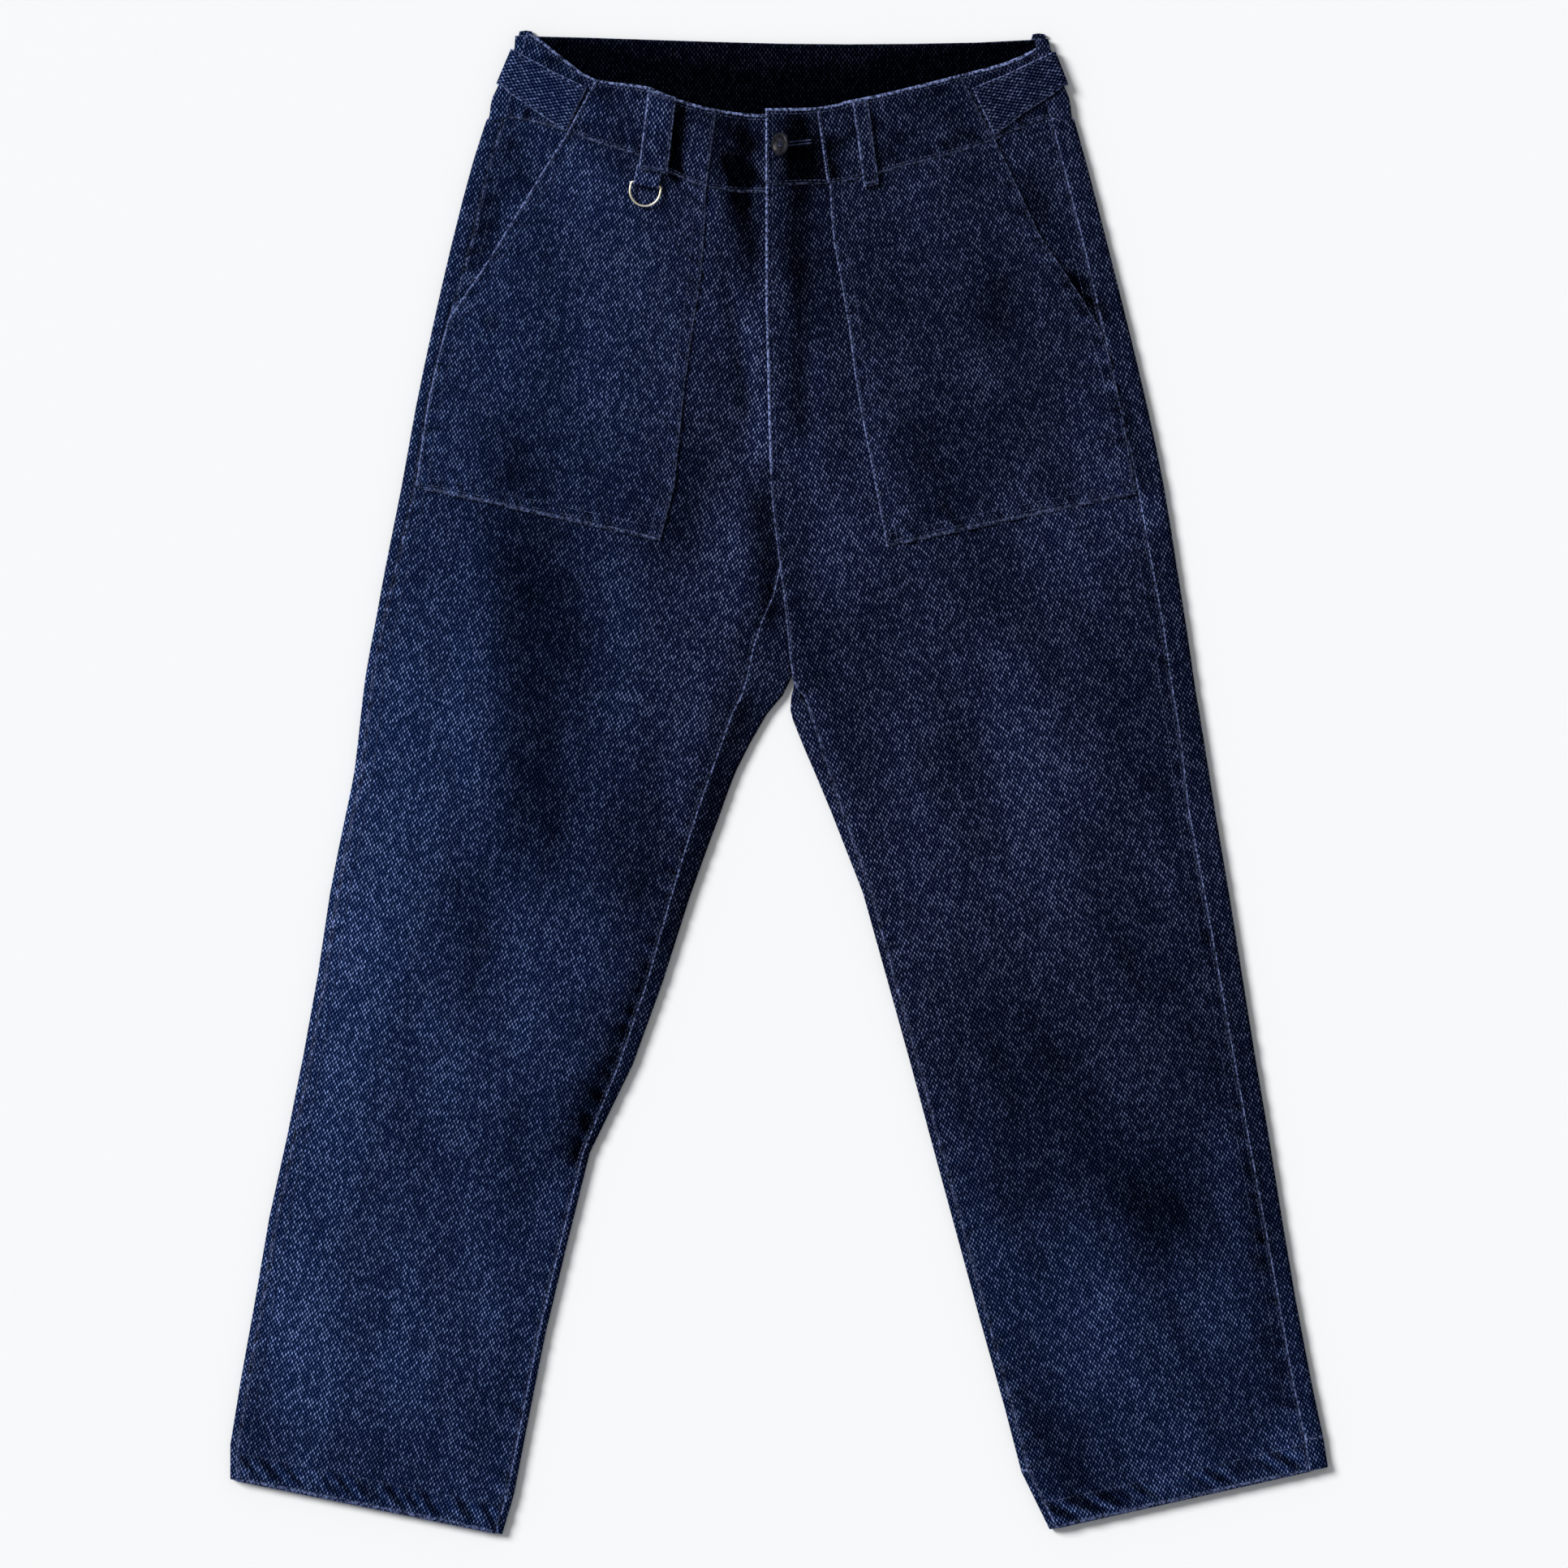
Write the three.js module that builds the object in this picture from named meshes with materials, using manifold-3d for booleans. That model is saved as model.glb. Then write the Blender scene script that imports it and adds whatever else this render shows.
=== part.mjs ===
// Baker pants laid flat on a table: wide tapered legs, patch pockets with slanted openings,
// a pieced waistband with cinch straps, belt loops, a D-ring and one button.
// Millimetres, +Z up. The waist is at +Y, the hems at -Y, and the front faces up.
import * as THREE from 'three';
import { mergeVertices } from 'three/addons/utils/BufferGeometryUtils.js';
import Module from 'manifold-3d';

const wasm = await Module();
wasm.setup();

// Cloth walls and clearances
const clothWall = 1.4;
const bandWall = 2.0;
const midWall = 3.0;
const loopWall = 1.8;
const seamGap = 0.3;
const waistSeamGap = 0.5;
const layerGap = 0.5;
const edgeHeight = 6.5;
const hemDepth = 20;
const hemRaise = 0.7;

// Waist height over the table: the front stands up at its middle and leaves a mouth
const waistLift = 8.5;
const liftStartY = 300;
const liftLength = 150;
const liftHalfWidth = 190;

// Right front lies over left front at the fly
const overlapRise = 2.6;
const overlapFade = 34;
const overlapWidth = 8;
const overlapBottomY = 160;
const overlapStart = 40;

// Distances over which a front comes down to its pressed edges
const outerFade = 20;
const innerFade = 22;
const crotchReach = 45;
const crotchFade = 40;

// Finishes, as seen in daylight
const indigo = { color: 0x141d38, roughness: 0.92, metalness: 0 };
const indigoLight = { color: 0x1b2747, roughness: 0.92, metalness: 0 };
const brass = { color: 0xb79a55, roughness: 0.35, metalness: 1 };
const horn = { color: 0x24242b, roughness: 0.4, metalness: 0 };

const clamp01 = (t) => Math.min(1, Math.max(0, t));
const ease = (t) => clamp01(t) ** 2 * (3 - 2 * clamp01(t));
const mix = (a, b, t) => a + (b - a) * t;

// A smooth line without overshoot through the rows of a table, read from one column to another
function tableCurve(rows, from, to) {
  const sorted = [...rows].sort((a, b) => a[from] - b[from]);
  const xs = sorted.map((row) => row[from]);
  const ys = sorted.map((row) => row[to]);
  const slopes = xs.slice(1).map((x, i) => (ys[i + 1] - ys[i]) / (x - xs[i]));
  const tangents = xs.map((x, i) => {
    const before = slopes[Math.max(0, i - 1)];
    const after = slopes[Math.min(slopes.length - 1, i)];
    return before * after <= 0 ? 0 : (2 * before * after) / (before + after);
  });
  return (x) => {
    let i = 0;
    while (i < xs.length - 2 && x > xs[i + 1]) i += 1;
    const width = xs[i + 1] - xs[i];
    const t = clamp01((x - xs[i]) / width);
    const s = 1 - t;
    const ends = s * s * (1 + 2 * t) * ys[i] + t * t * (3 - 2 * t) * ys[i + 1];
    return ends + width * t * s * (s * tangents[i] - t * tangents[i + 1]);
  };
}

// One row for each section of a leg, from the waist seam down to the hem.
// outX outY: outer edge; seam: outseam's distance from it; backX backY: inner edge of the back;
// turn: how far the back turns up round that edge; roll: height of that turned edge;
// flap: width of the back seen on the front there, up to the inseam.
const legColumns = ['outX', 'outY', 'seam', 'backX', 'backY', 'turn', 'roll', 'flap'];
const asRows = (table) => table.map((row) => Object.fromEntries(legColumns.map((name, i) => [name, row[i]])));

const leftLeg = asRows([
  [-196.9, 449.4, 11.6, 1.1, 457.1, 0, 4.8, 3.9],
  [-206.3, 420.2, 11.6, 1.1, 425.7, 0, 4.8, 3.9],
  [-220.6, 365.2, 13.2, 1.1, 365.2, 0, 4.8, 3.9],
  [-233.2, 310.2, 9.6, 1.1, 310.2, 0, 4.8, 3.9],
  [-244.8, 255.2, 7.2, 1.1, 255.2, 0, 4.8, 3.9],
  [-254.7, 200.2, 8.8, 2.4, 200.2, 0, 4.8, 3.9],
  [-265.7, 145.2, 7.2, 5.2, 145.2, 1, 4.8, 3.9],
  [-272.2, 109.5, 5.6, 8.0, 109.5, 1, 4.8, 18.7],
  [-278.9, 73.2, 5.0, 9.9, 72.1, 1, 4.8, 30.5],
  [-282.2, 46.2, 5.0, -7.2, 46.2, 1, 5.2, 23.9],
  [-286.6, 7.7, 5.0, -28.1, 7.7, 1, 5.8, 16.7],
  [-292.1, -19.8, 5.0, -39.1, -22.0, 1, 6.2, 16.2],
  [-303.1, -74.8, 5.0, -59.4, -77.6, 1, 6.5, 12.9],
  [-311.3, -129.8, 5.0, -77.6, -134.8, 1, 6.5, 10.7],
  [-321.2, -184.8, 5.0, -97.9, -190.9, 1, 6.5, 9.6],
  [-332.2, -239.8, 5.0, -127.1, -250.8, 1, 6.5, 4.8],
  [-344.3, -294.8, 5.0, -141.9, -310.2, 1, 6.5, 4.8],
  [-353.7, -349.8, 5.0, -156.8, -371.8, 1, 6.5, 4.8],
  [-363.6, -404.8, 5.0, -168.9, -432.3, 1, 6.5, 4.8],
  [-370.7, -448.8, 5.0, -178.2, -480.7, 1, 6.5, 4.8],
  [-370.7, -471.9, 5.0, -186.5, -509.3, 1, 6.5, 4.8],
]);

const rightLeg = asRows([
  [200.8, 449.4, 15.8, 1.4, 457.1, 0, 4.8, 3.9],
  [209.0, 420.2, 16.5, 1.4, 425.7, 0, 4.8, 3.9],
  [223.3, 365.2, 16.5, 1.4, 365.2, 0, 4.8, 3.9],
  [237.1, 310.2, 17.6, 1.4, 310.2, 0, 4.8, 3.9],
  [250.3, 255.2, 18.2, 1.4, 255.2, 0, 4.8, 3.9],
  [261.8, 200.2, 18.2, 2.7, 200.2, 0, 4.8, 3.9],
  [270.6, 145.2, 17.1, 5.5, 145.2, 0, 4.8, 3.9],
  [276.7, 106.7, 16.0, 8.3, 106.7, 0, 4.8, 3.9],
  [282.2, 69.3, 16.0, 11.4, 68.2, 1, 4.8, 3.9],
  [283.8, 58.3, 16.0, 9.4, 58.3, 1, 4.8, 5.5],
  [285.5, 49.0, 16.0, 8.8, 49.0, 1, 4.9, 12.9],
  [287.7, 35.2, 16.0, 13.2, 35.2, 1, 5.2, 12.9],
  [292.1, 7.7, 17.1, 24.8, 7.7, 1, 5.8, 9.6],
  [296.5, -19.8, 18.2, 36.3, -19.8, 1, 6.2, 7.4],
  [305.8, -74.8, 17.1, 57.8, -74.8, 1, 6.5, 5.2],
  [314.6, -129.8, 16.0, 73.2, -129.8, 1, 6.5, 4.8],
  [323.4, -184.8, 14.9, 89.1, -187.0, 1, 6.5, 4.8],
  [332.8, -239.8, 14.3, 104.5, -244.2, 1, 6.5, 4.8],
  [341.6, -294.8, 12.7, 120.5, -303.1, 1, 6.5, 4.8],
  [350.9, -349.8, 12.1, 137.0, -363.6, 1, 6.5, 4.8],
  [361.4, -404.8, 12.7, 154.0, -424.1, 1, 6.5, 4.8],
  [369.6, -443.3, 12.7, 165.0, -466.4, 1, 6.5, 4.8],
  [372.9, -463.7, 13.2, 184.3, -506.0, 1, 6.5, 4.8],
]);

// Inner edge of each front from the waist seam down to where the inseam starts, by section
const flyColumns = ['station', 'x', 'y'];
const asFly = (table) => table.map((row) => Object.fromEntries(flyColumns.map((name, i) => [name, row[i]])));
const leftFly = asFly([
  [0, -0.6, 399.3], [1, -0.6, 370.7], [2, -0.6, 326.7], [3, -0.6, 282.7], [4, -0.6, 238.7], [5, -0.6, 194.7],
]);
const rightFly = asFly([
  [0, -7.7, 403.7], [1, -7.7, 376.2], [2, -7.7, 332.2], [3, -6.6, 282.7], [4, -5.5, 238.7],
  [5, -3.9, 195.3], [6, 2.2, 145.2], [7, 6.6, 106.7], [8, 11.0, 68.2], [9, 18.2, 58.3],
]);

// Front waist: the seam under the waistband and the top edge, for each side
const xy = (table) => table.map(([x, y]) => ({ x, y }));
const seamLeft = tableCurve(xy([
  [-197, 450.4], [-184, 450.1], [-165, 447.0], [-142, 440.6], [-120, 432.3], [-92, 423.5],
  [-72, 412.0], [-49, 403.2], [-24, 399.5], [0, 399.3], [12, 399.3],
]), 'x', 'y');
const seamRight = tableCurve(xy([
  [-8, 403.7], [12, 404.3], [35, 405.4], [50, 407.0], [66, 411.0], [84, 416.2], [108, 422.4],
  [143, 433.0], [153, 437.8], [172, 446.0], [185, 450.1], [200, 450.4],
]), 'x', 'y');
const topLeft = tableCurve(xy([
  [-175, 508.6], [-167, 506.5], [-150, 494.0], [-123, 475.2], [-88, 470.3],
  [-71, 463.1], [-41, 454.9], [-9, 451.6], [8, 451.6],
]), 'x', 'y');
const topRight = tableCurve(xy([
  [-8, 455.4], [27, 456.0], [51, 461.5], [60, 463.1], [119, 477.4], [158, 488.4], [182, 500.5],
]), 'x', 'y');
const backTop = tableCurve(xy([
  [-179, 506.2], [-142, 504.9], [-109, 503.8], [-59, 502.2], [-4, 500.5],
  [51, 500.0], [106, 500.5], [161, 502.2], [184, 504.9],
]), 'x', 'y');

// Largest folds of the front. width: half width; rise: up is a ridge, down is a trough
const foldRow = ([x0, y0, x1, y1, width, rise]) => ({ x0, y0, x1, y1, width, rise });
const leftFolds = [
  [-170, 265, -163, -77, 13, -2.2],
  [-192, 250, -186, -60, 13, 1.8],
  [-146, 262, -138, -80, 13, 1.8],
  [-34, 470, -18, 340, 8, -3.6],
  [-46, 450, -33, 350, 8, 1.2],
  [-12, 300, -11, 200, 7, 1.6],
  [-23, 195, -31, 78, 10, 3.2],
  [-48, 60, -84, -60, 13, 1.6],
  [-101, -145, -101, -178, 14, -1.6],
  [-106, -150, -137, -209, 9, 2.2],
  [-186, 420, -201, 345, 10, -1.7],
  [-208, 318, -205, 305, 9, -1.6],
  [-250, 60, -300, -170, 20, 1.6],
  [-225, -210, -262, -400, 24, 1.7],
].map(foldRow);
const rightFolds = [
  [9, 462, 8, 240, 8, -2.4],
  [28, 330, 22, 230, 9, 1.2],
  [2, 190, 12, 75, 9, 1.8],
  [40, 210, 60, 60, 12, 1.4],
  [175, 395, 212, 330, 10, -1.7],
  [50, 50, 105, 52, 8, -1.2],
  [130, 150, 205, -170, 26, 1.9],
  [196, -190, 208, -208, 18, -1.6],
  [156, -352, 232, -348, 12, -1.3],
  [240, -215, 290, -400, 24, 1.6],
  [208, -440, 209, -485, 7, -1.5],
].map(foldRow);

function foldHeight(folds, x, y) {
  return folds.reduce((sum, fold) => {
    const dx = fold.x1 - fold.x0;
    const dy = fold.y1 - fold.y0;
    const length = Math.hypot(dx, dy);
    const along = ((x - fold.x0) * dx + (y - fold.y0) * dy) / length;
    const across = ((x - fold.x0) * dy - (y - fold.y0) * dx) / length;
    const taper = Math.min(length / 2, fold.width * 3);
    const ends = ease((along + taper / 2) / taper) * ease((length + taper / 2 - along) / taper);
    return sum + fold.rise * ends * Math.exp(-0.5 * (across / fold.width) ** 2);
  }, 0);
}

function liftHeight(x, y) {
  return waistLift * ease((y - liftStartY) / liftLength) * Math.max(0, 1 - (x / liftHalfWidth) ** 2);
}

// Everything that the pieces of one side share: its lines, and the height of its front over the table
function makeSide({ rows, fly, mirror, folds, seamCurve, waistEdge, rise }) {
  const last = rows.length - 1;
  rows.forEach((row, i) => { row.station = i; });
  const column = {};
  for (const name of legColumns) column[name] = tableCurve(rows, 'station', name);
  const outerX = tableCurve([...rows, ...waistEdge], 'outY', 'outX');
  const below = rows.filter((row) => row.turn === 1);
  const innerX = tableCurve(below, 'backY', 'backX');
  const innerRoll = tableCurve(below, 'backY', 'roll');
  const crotchY = below[0].backY;
  const flyX = tableCurve(fly, 'station', 'x');
  const flyY = tableCurve(fly, 'station', 'y');
  const side = { rows, last, mirror, column, seamCurve };
  // A point on a section of the back, by its distance from the outer edge
  side.onSection = (station, distanceFrom) => {
    const a = [column.outX(station), column.outY(station)];
    const b = [column.backX(station), column.backY(station)];
    const length = Math.hypot(b[0] - a[0], b[1] - a[1]);
    const distance = distanceFrom(length);
    return [a[0] + ((b[0] - a[0]) / length) * distance, a[1] + ((b[1] - a[1]) / length) * distance];
  };
  // The front's inner edge: the fly, then the inseam beside the back's flap
  const joinStation = fly.length;
  side.isJoined = (station) => station >= joinStation;
  side.frontInner = (station) => {
    const inseam = (at) => side.onSection(at, (length) => length - column.flap(at) - seamGap);
    if (side.isJoined(station)) return inseam(station);
    const fraction = clamp01(station - (joinStation - 1));
    const start = [flyX(station), flyY(station)];
    return start.map((value, k) => mix(value, inseam(joinStation)[k], fraction));
  };
  side.top = (x, y) => {
    const fromOuter = (outerX(y) - x) * mirror;
    const fromInner = (x - innerX(y)) * mirror;
    const free = edgeHeight + liftHeight(x, y) + foldHeight(folds, x, y) + rise(x, y);
    const outerMask = ease(fromOuter / outerFade);
    const height = mix(edgeHeight, free, outerMask);
    const nearLeg = ease((crotchY + crotchReach - y) / crotchFade);
    const innerMask = mix(1, ease(fromInner / innerFade), nearLeg);
    return mix(innerRoll(y), height, innerMask);
  };
  return side;
}

// The right front's free edge stays up over the left one, and over the crotch down to its inseam
const crotchEdgeY = 62;
const crotchEdgeFade = 14;
const edgeX = -7.7;
function rightRise(x, y) {
  const across = 1 - ease((x - edgeX) / overlapFade);
  return overlapRise * across * ease((y - crotchEdgeY + crotchEdgeFade) / crotchEdgeFade);
}
const asEdge = (table) => table.map(([outX, outY]) => ({ outX, outY }));
const left = makeSide({
  rows: leftLeg,
  fly: leftFly,
  mirror: -1,
  folds: leftFolds,
  seamCurve: seamLeft,
  waistEdge: asEdge([[-192.9, 464.2], [-187.5, 475.2], [-182.9, 486.2], [-178.2, 506]]),
  rise: () => 0,
});
const right = makeSide({
  rows: rightLeg,
  fly: rightFly,
  mirror: 1,
  folds: rightFolds,
  seamCurve: seamRight,
  waistEdge: asEdge([[197.3, 464.2], [192.5, 475.2], [188.6, 486.2], [183.4, 506]]),
  rise: rightRise,
});
const rightPressed = right.top;
const hangBelow = 6;
const hangFade = 10;
const hangReachX = 150;
const hangReachFade = 30;
right.top = (x, y) => {
  const free = edgeHeight + liftHeight(x, y) + foldHeight(rightFolds, x, y) + rightRise(x, y);
  const hangs = ease((y - crotchEdgeY + hangBelow) / hangFade) * (1 - ease((x - hangReachX) / hangReachFade));
  const own = mix(rightPressed(x, y), free, hangs);
  const overlaps = ease((y - overlapBottomY) / overlapStart) * (1 - ease((x - overlapWidth) / overlapFade));
  return mix(own, left.top(x, y) + overlapRise, overlaps);
};

// Rows of points become a closed cloth wall: outer face, inner face and the four edges
function clothGeometry(outer, inner) {
  const rowCount = outer.length;
  const columnCount = outer[0].length;
  const positions = [...outer.flat(), ...inner.flat()].flat();
  const at = (side, i, j) => side * rowCount * columnCount + i * columnCount + j;
  const faces = [];
  const quad = (a, b, c, d) => faces.push(a, b, c, a, c, d);
  for (let i = 0; i < rowCount - 1; i += 1) {
    for (let j = 0; j < columnCount - 1; j += 1) {
      quad(at(0, i, j), at(0, i + 1, j), at(0, i + 1, j + 1), at(0, i, j + 1));
      quad(at(1, i, j), at(1, i, j + 1), at(1, i + 1, j + 1), at(1, i + 1, j));
    }
  }
  for (let i = 0; i < rowCount - 1; i += 1) {
    const end = columnCount - 1;
    quad(at(0, i, 0), at(1, i, 0), at(1, i + 1, 0), at(0, i + 1, 0));
    quad(at(0, i, end), at(0, i + 1, end), at(1, i + 1, end), at(1, i, end));
  }
  for (let j = 0; j < columnCount - 1; j += 1) {
    const end = rowCount - 1;
    quad(at(0, 0, j), at(0, 0, j + 1), at(1, 0, j + 1), at(1, 0, j));
    quad(at(0, end, j), at(1, end, j), at(1, end, j + 1), at(0, end, j + 1));
  }
  if (signedVolume(positions, faces) < 0) {
    for (let k = 0; k < faces.length; k += 3) [faces[k], faces[k + 1]] = [faces[k + 1], faces[k]];
  }
  const geometry = new THREE.BufferGeometry();
  geometry.setAttribute('position', new THREE.Float32BufferAttribute(positions, 3));
  geometry.setIndex(faces);
  geometry.computeVertexNormals();
  return geometry;
}

function signedVolume(positions, faces) {
  const corner = (k) => new THREE.Vector3().fromArray(positions, faces[k] * 3);
  let sum = 0;
  for (let k = 0; k < faces.length; k += 3) {
    sum += corner(k).dot(corner(k + 1).cross(corner(k + 2)));
  }
  return sum / 6;
}

const lower = (point, depth) => [point[0], point[1], point[2] - depth];

// Stations of the cross rows: each section, halves above the crotch, and the top of the hem
const halfRowsTo = 12;
const hemStep = 0.06;
function hemStart(side) {
  const lastLength = side.column.outY(side.last - 1) - side.column.outY(side.last);
  return side.last - hemDepth / lastLength;
}
function legStations(side) {
  const stations = [];
  for (let i = 0; i < side.last; i += 1) {
    stations.push(i);
    if (i < halfRowsTo) stations.push(i + 0.5);
  }
  stations.push(hemStart(side) - hemStep, hemStart(side), side.last);
  return stations;
}

// Front leg: from the outseam to the fly, and below the crotch to the inseam
const frontColumns = 14;
const seamFalloff = 4;
function frontLegGeometry(side) {
  const c = side.column;
  const hemAt = (station) => (station >= hemStart(side) ? hemRaise : 0);
  const startOuter = side.onSection(0, () => c.seam(0) + seamGap / 2);
  const startInner = side.frontInner(0);
  const plan = legStations(side).map((station) => {
    const fall = 1 - ease(station / seamFalloff);
    const outer = side.onSection(station, () => c.seam(station) + seamGap / 2);
    const inner = side.frontInner(station);
    const row = [];
    for (let k = 0; k <= frontColumns; k += 1) {
      const t = k / frontColumns;
      const waistX = mix(startOuter[0], startInner[0], t);
      const bend = side.seamCurve(waistX) - waistSeamGap - mix(startOuter[1], startInner[1], t);
      row.push([mix(outer[0], inner[0], t), mix(outer[1], inner[1], t) + (k > 0 ? fall * bend : 0)]);
    }
    row.station = station;
    return row;
  });
  const outer = plan.map((row) => row.map(([x, y]) => [x, y, side.top(x, y) + hemAt(row.station)]));
  const inner = plan.map((row) => row.map(([x, y]) => [x, y, side.top(x, y) - clothWall]));
  return clothGeometry(outer, inner);
}

// One turned edge in section: how the wall leaves the table, bends by an angle and runs on.
// Each point holds the distance from the edge and the height, for the outer and the inner face.
const arcSteps = 4;
const shortestFlap = 0.6;
function turnedEdge(turn, radius, flap, wall, floor) {
  const angle = Math.PI * turn;
  const straight = Math.max(shortestFlap, flap - radius);
  const reach = radius * Math.sin(Math.min(angle, Math.PI / 2)) + straight * Math.max(0, Math.cos(angle));
  const points = [];
  const push = (distance, height, theta) => points.push({
    outer: [distance, height],
    inner: [distance + wall * Math.sin(theta), height + wall * Math.cos(theta)],
  });
  for (let k = 0; k <= arcSteps; k += 1) {
    const theta = (angle * k) / arcSteps;
    push(reach - radius * Math.sin(theta), floor + radius * (1 - Math.cos(theta)), theta);
  }
  const endDistance = reach - radius * Math.sin(angle) - straight * Math.cos(angle);
  const endHeight = floor + radius * (1 - Math.cos(angle)) + straight * Math.sin(angle);
  push(endDistance, endHeight, angle);
  return points;
}

// Back leg: outseam, round the outer edge, flat on the table, round the inner edge to the inseam
const flatColumns = 2;
function backLegGeometry(side) {
  const c = side.column;
  const outerRows = [];
  const innerRows = [];
  const stations = legStations(side);
  for (const station of stations) {
    const turn = c.turn(station);
    const length = Math.hypot(c.backX(station) - c.outX(station), c.backY(station) - c.outY(station));
    const nearOuter = turnedEdge(1, edgeHeight / 2, c.seam(station) - seamGap / 2, clothWall, 0);
    const nearInner = turnedEdge(turn, c.roll(station) / 2, c.flap(station), clothWall, 0);
    const place = (distance, height) => [...side.onSection(station, () => distance), height];
    const outerRow = [];
    const innerRow = [];
    const add = (outerPoint, innerPoint) => { outerRow.push(outerPoint); innerRow.push(innerPoint); };
    // The end of the outer flap and its middle follow the front's height
    const flapEnd = nearOuter[nearOuter.length - 1].outer[0];
    for (const distance of [flapEnd, mix(flapEnd, edgeHeight / 2, 0.5)]) {
      const point = place(distance, 0);
      const height = side.top(point[0], point[1]);
      add([point[0], point[1], height], [point[0], point[1], height - clothWall]);
    }
    for (let k = arcSteps; k >= 0; k -= 1) {
      const { outer, inner } = nearOuter[k];
      add(place(outer[0], outer[1]), place(inner[0], inner[1]));
    }
    const start = nearOuter[0].outer[0];
    const end = length - nearInner[0].outer[0];
    for (let k = 1; k < flatColumns; k += 1) {
      const distance = mix(start, end, k / flatColumns);
      add(place(distance, 0), place(distance, clothWall));
    }
    nearInner.forEach(({ outer, inner }, k) => {
      const outerPoint = place(length - outer[0], outer[1]);
      const innerPoint = place(length - inner[0], inner[1]);
      if (k === nearInner.length - 1 && side.isJoined(station)) {
        outerPoint[2] = side.top(outerPoint[0], outerPoint[1]);
        innerPoint[2] = outerPoint[2] - clothWall;
      }
      add(outerPoint, innerPoint);
    });
    outerRows.push(outerRow);
    innerRows.push(innerRow);
  }
  return clothGeometry(outerRows, innerRows);
}

// Patch pockets, from the waist seam down: the slanted opening and outseam, then the inner edge
const pocketColumns = 12;
const pocketRise = layerGap + clothWall;
const openingCurl = 1.2;
const openingRows = 8;
const curlColumns = 2;
const curlStartRows = 2;
const curlEndRows = 3;
const pocketRowSteps = 2;
const pocketBendRows = 3;
const leftPocketRows = [
  [-141.5, 438.2, -48.6, 402.6],
  [-160.1, 409.8, -49.2, 385.0],
  [-179.5, 379.0, -50.6, 362.0],
  [-198.6, 348.7, -52.8, 337.0],
  [-222.6, 313.5, -57.2, 311.0],
  [-229.8, 286.6, -62.2, 276.0],
  [-236.2, 258.0, -65.7, 245.0],
  [-240.8, 228.0, -70.2, 200.0],
  [-244.4, 199.6, -79.8, 163.9],
];
const rightPocketRows = [
  [147.2, 432.0, 35.6, 404.6],
  [162.5, 400.0, 36.6, 385.0],
  [177.1, 370.2, 38.4, 365.0],
  [204.6, 329.5, 43.6, 337.0],
  [219.4, 304.5, 48.6, 308.0],
  [226.2, 282.0, 52.4, 278.0],
  [232.6, 252.0, 56.6, 252.0],
  [238.0, 222.0, 65.2, 208.0],
  [242.6, 195.4, 74.2, 159.6],
];
function pocketPlan(rows, side) {
  const plan = [];
  for (let i = 0; i < (rows.length - 1) * pocketRowSteps + 1; i += 1) {
    const position = i / pocketRowSteps;
    const index = Math.min(rows.length - 2, Math.floor(position));
    const t = position - index;
    const [openX, openY, innerX, innerY] = rows[index].map((value, k) => mix(value, rows[index + 1][k], t));
    const fall = 1 - ease(position / pocketBendRows);
    const row = [];
    for (let k = 0; k <= pocketColumns; k += 1) {
      const s = k / pocketColumns;
      const waistX = mix(rows[0][0], rows[0][2], s);
      const bend = side.seamCurve(waistX) - waistSeamGap - mix(rows[0][1], rows[0][3], s);
      row.push([mix(openX, innerX, s), mix(openY, innerY, s) + fall * bend]);
    }
    plan.push(row);
  }
  return plan;
}
function pocketGeometry(rows, side) {
  const plan = pocketPlan(rows, side);
  const outer = plan.map((row, i) => row.map(([x, y], k) => {
    const along = ease((openingRows - i) / curlEndRows) * ease(i / curlStartRows);
    const curl = openingCurl * along * ease(1 - k / curlColumns);
    return [x, y, side.top(x, y) + pocketRise + curl];
  }));
  const inner = outer.map((row) => row.map((point) => lower(point, clothWall)));
  return clothGeometry(outer, inner);
}

// Waistband pieces on the front: ends as x at the top edge and x at the seam, first and last
const bandRise = 0.6;
const midRise = 2.4;
const midCurl = 1.0;
const bandRows = 4;
const bandCurlColumns = 1.5;
function bandGeometry({ side, top, ends, columns, rise, wall, curl }) {
  const [topStart, seamStart, topEnd, seamEnd] = ends;
  const plan = [];
  for (let i = 0; i <= bandRows; i += 1) {
    const t = i / bandRows;
    const row = [];
    for (let k = 0; k <= columns; k += 1) {
      const s = k / columns;
      const upperX = mix(topStart, topEnd, s);
      const lowerX = mix(seamStart, seamEnd, s);
      row.push([mix(upperX, lowerX, t), mix(top(upperX), side.seamCurve(lowerX), t)]);
    }
    plan.push(row);
  }
  const outer = plan.map((row) => row.map(([x, y], k) => {
    const fromEdge = side.mirror < 0 ? k : columns - k;
    return [x, y, side.top(x, y) + rise + curl * ease(1 - fromEdge / bandCurlColumns)];
  }));
  const inner = plan.map((row) => row.map(([x, y]) => [x, y, side.top(x, y) + rise - wall]));
  return clothGeometry(outer, inner);
}
const leftBand = { side: left, top: topLeft };
const rightBand = { side: right, top: topRight };
const flatBand = { rise: bandRise, wall: bandWall, curl: 0 };
const raisedBand = { rise: midRise, wall: midWall, curl: midCurl };
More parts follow.
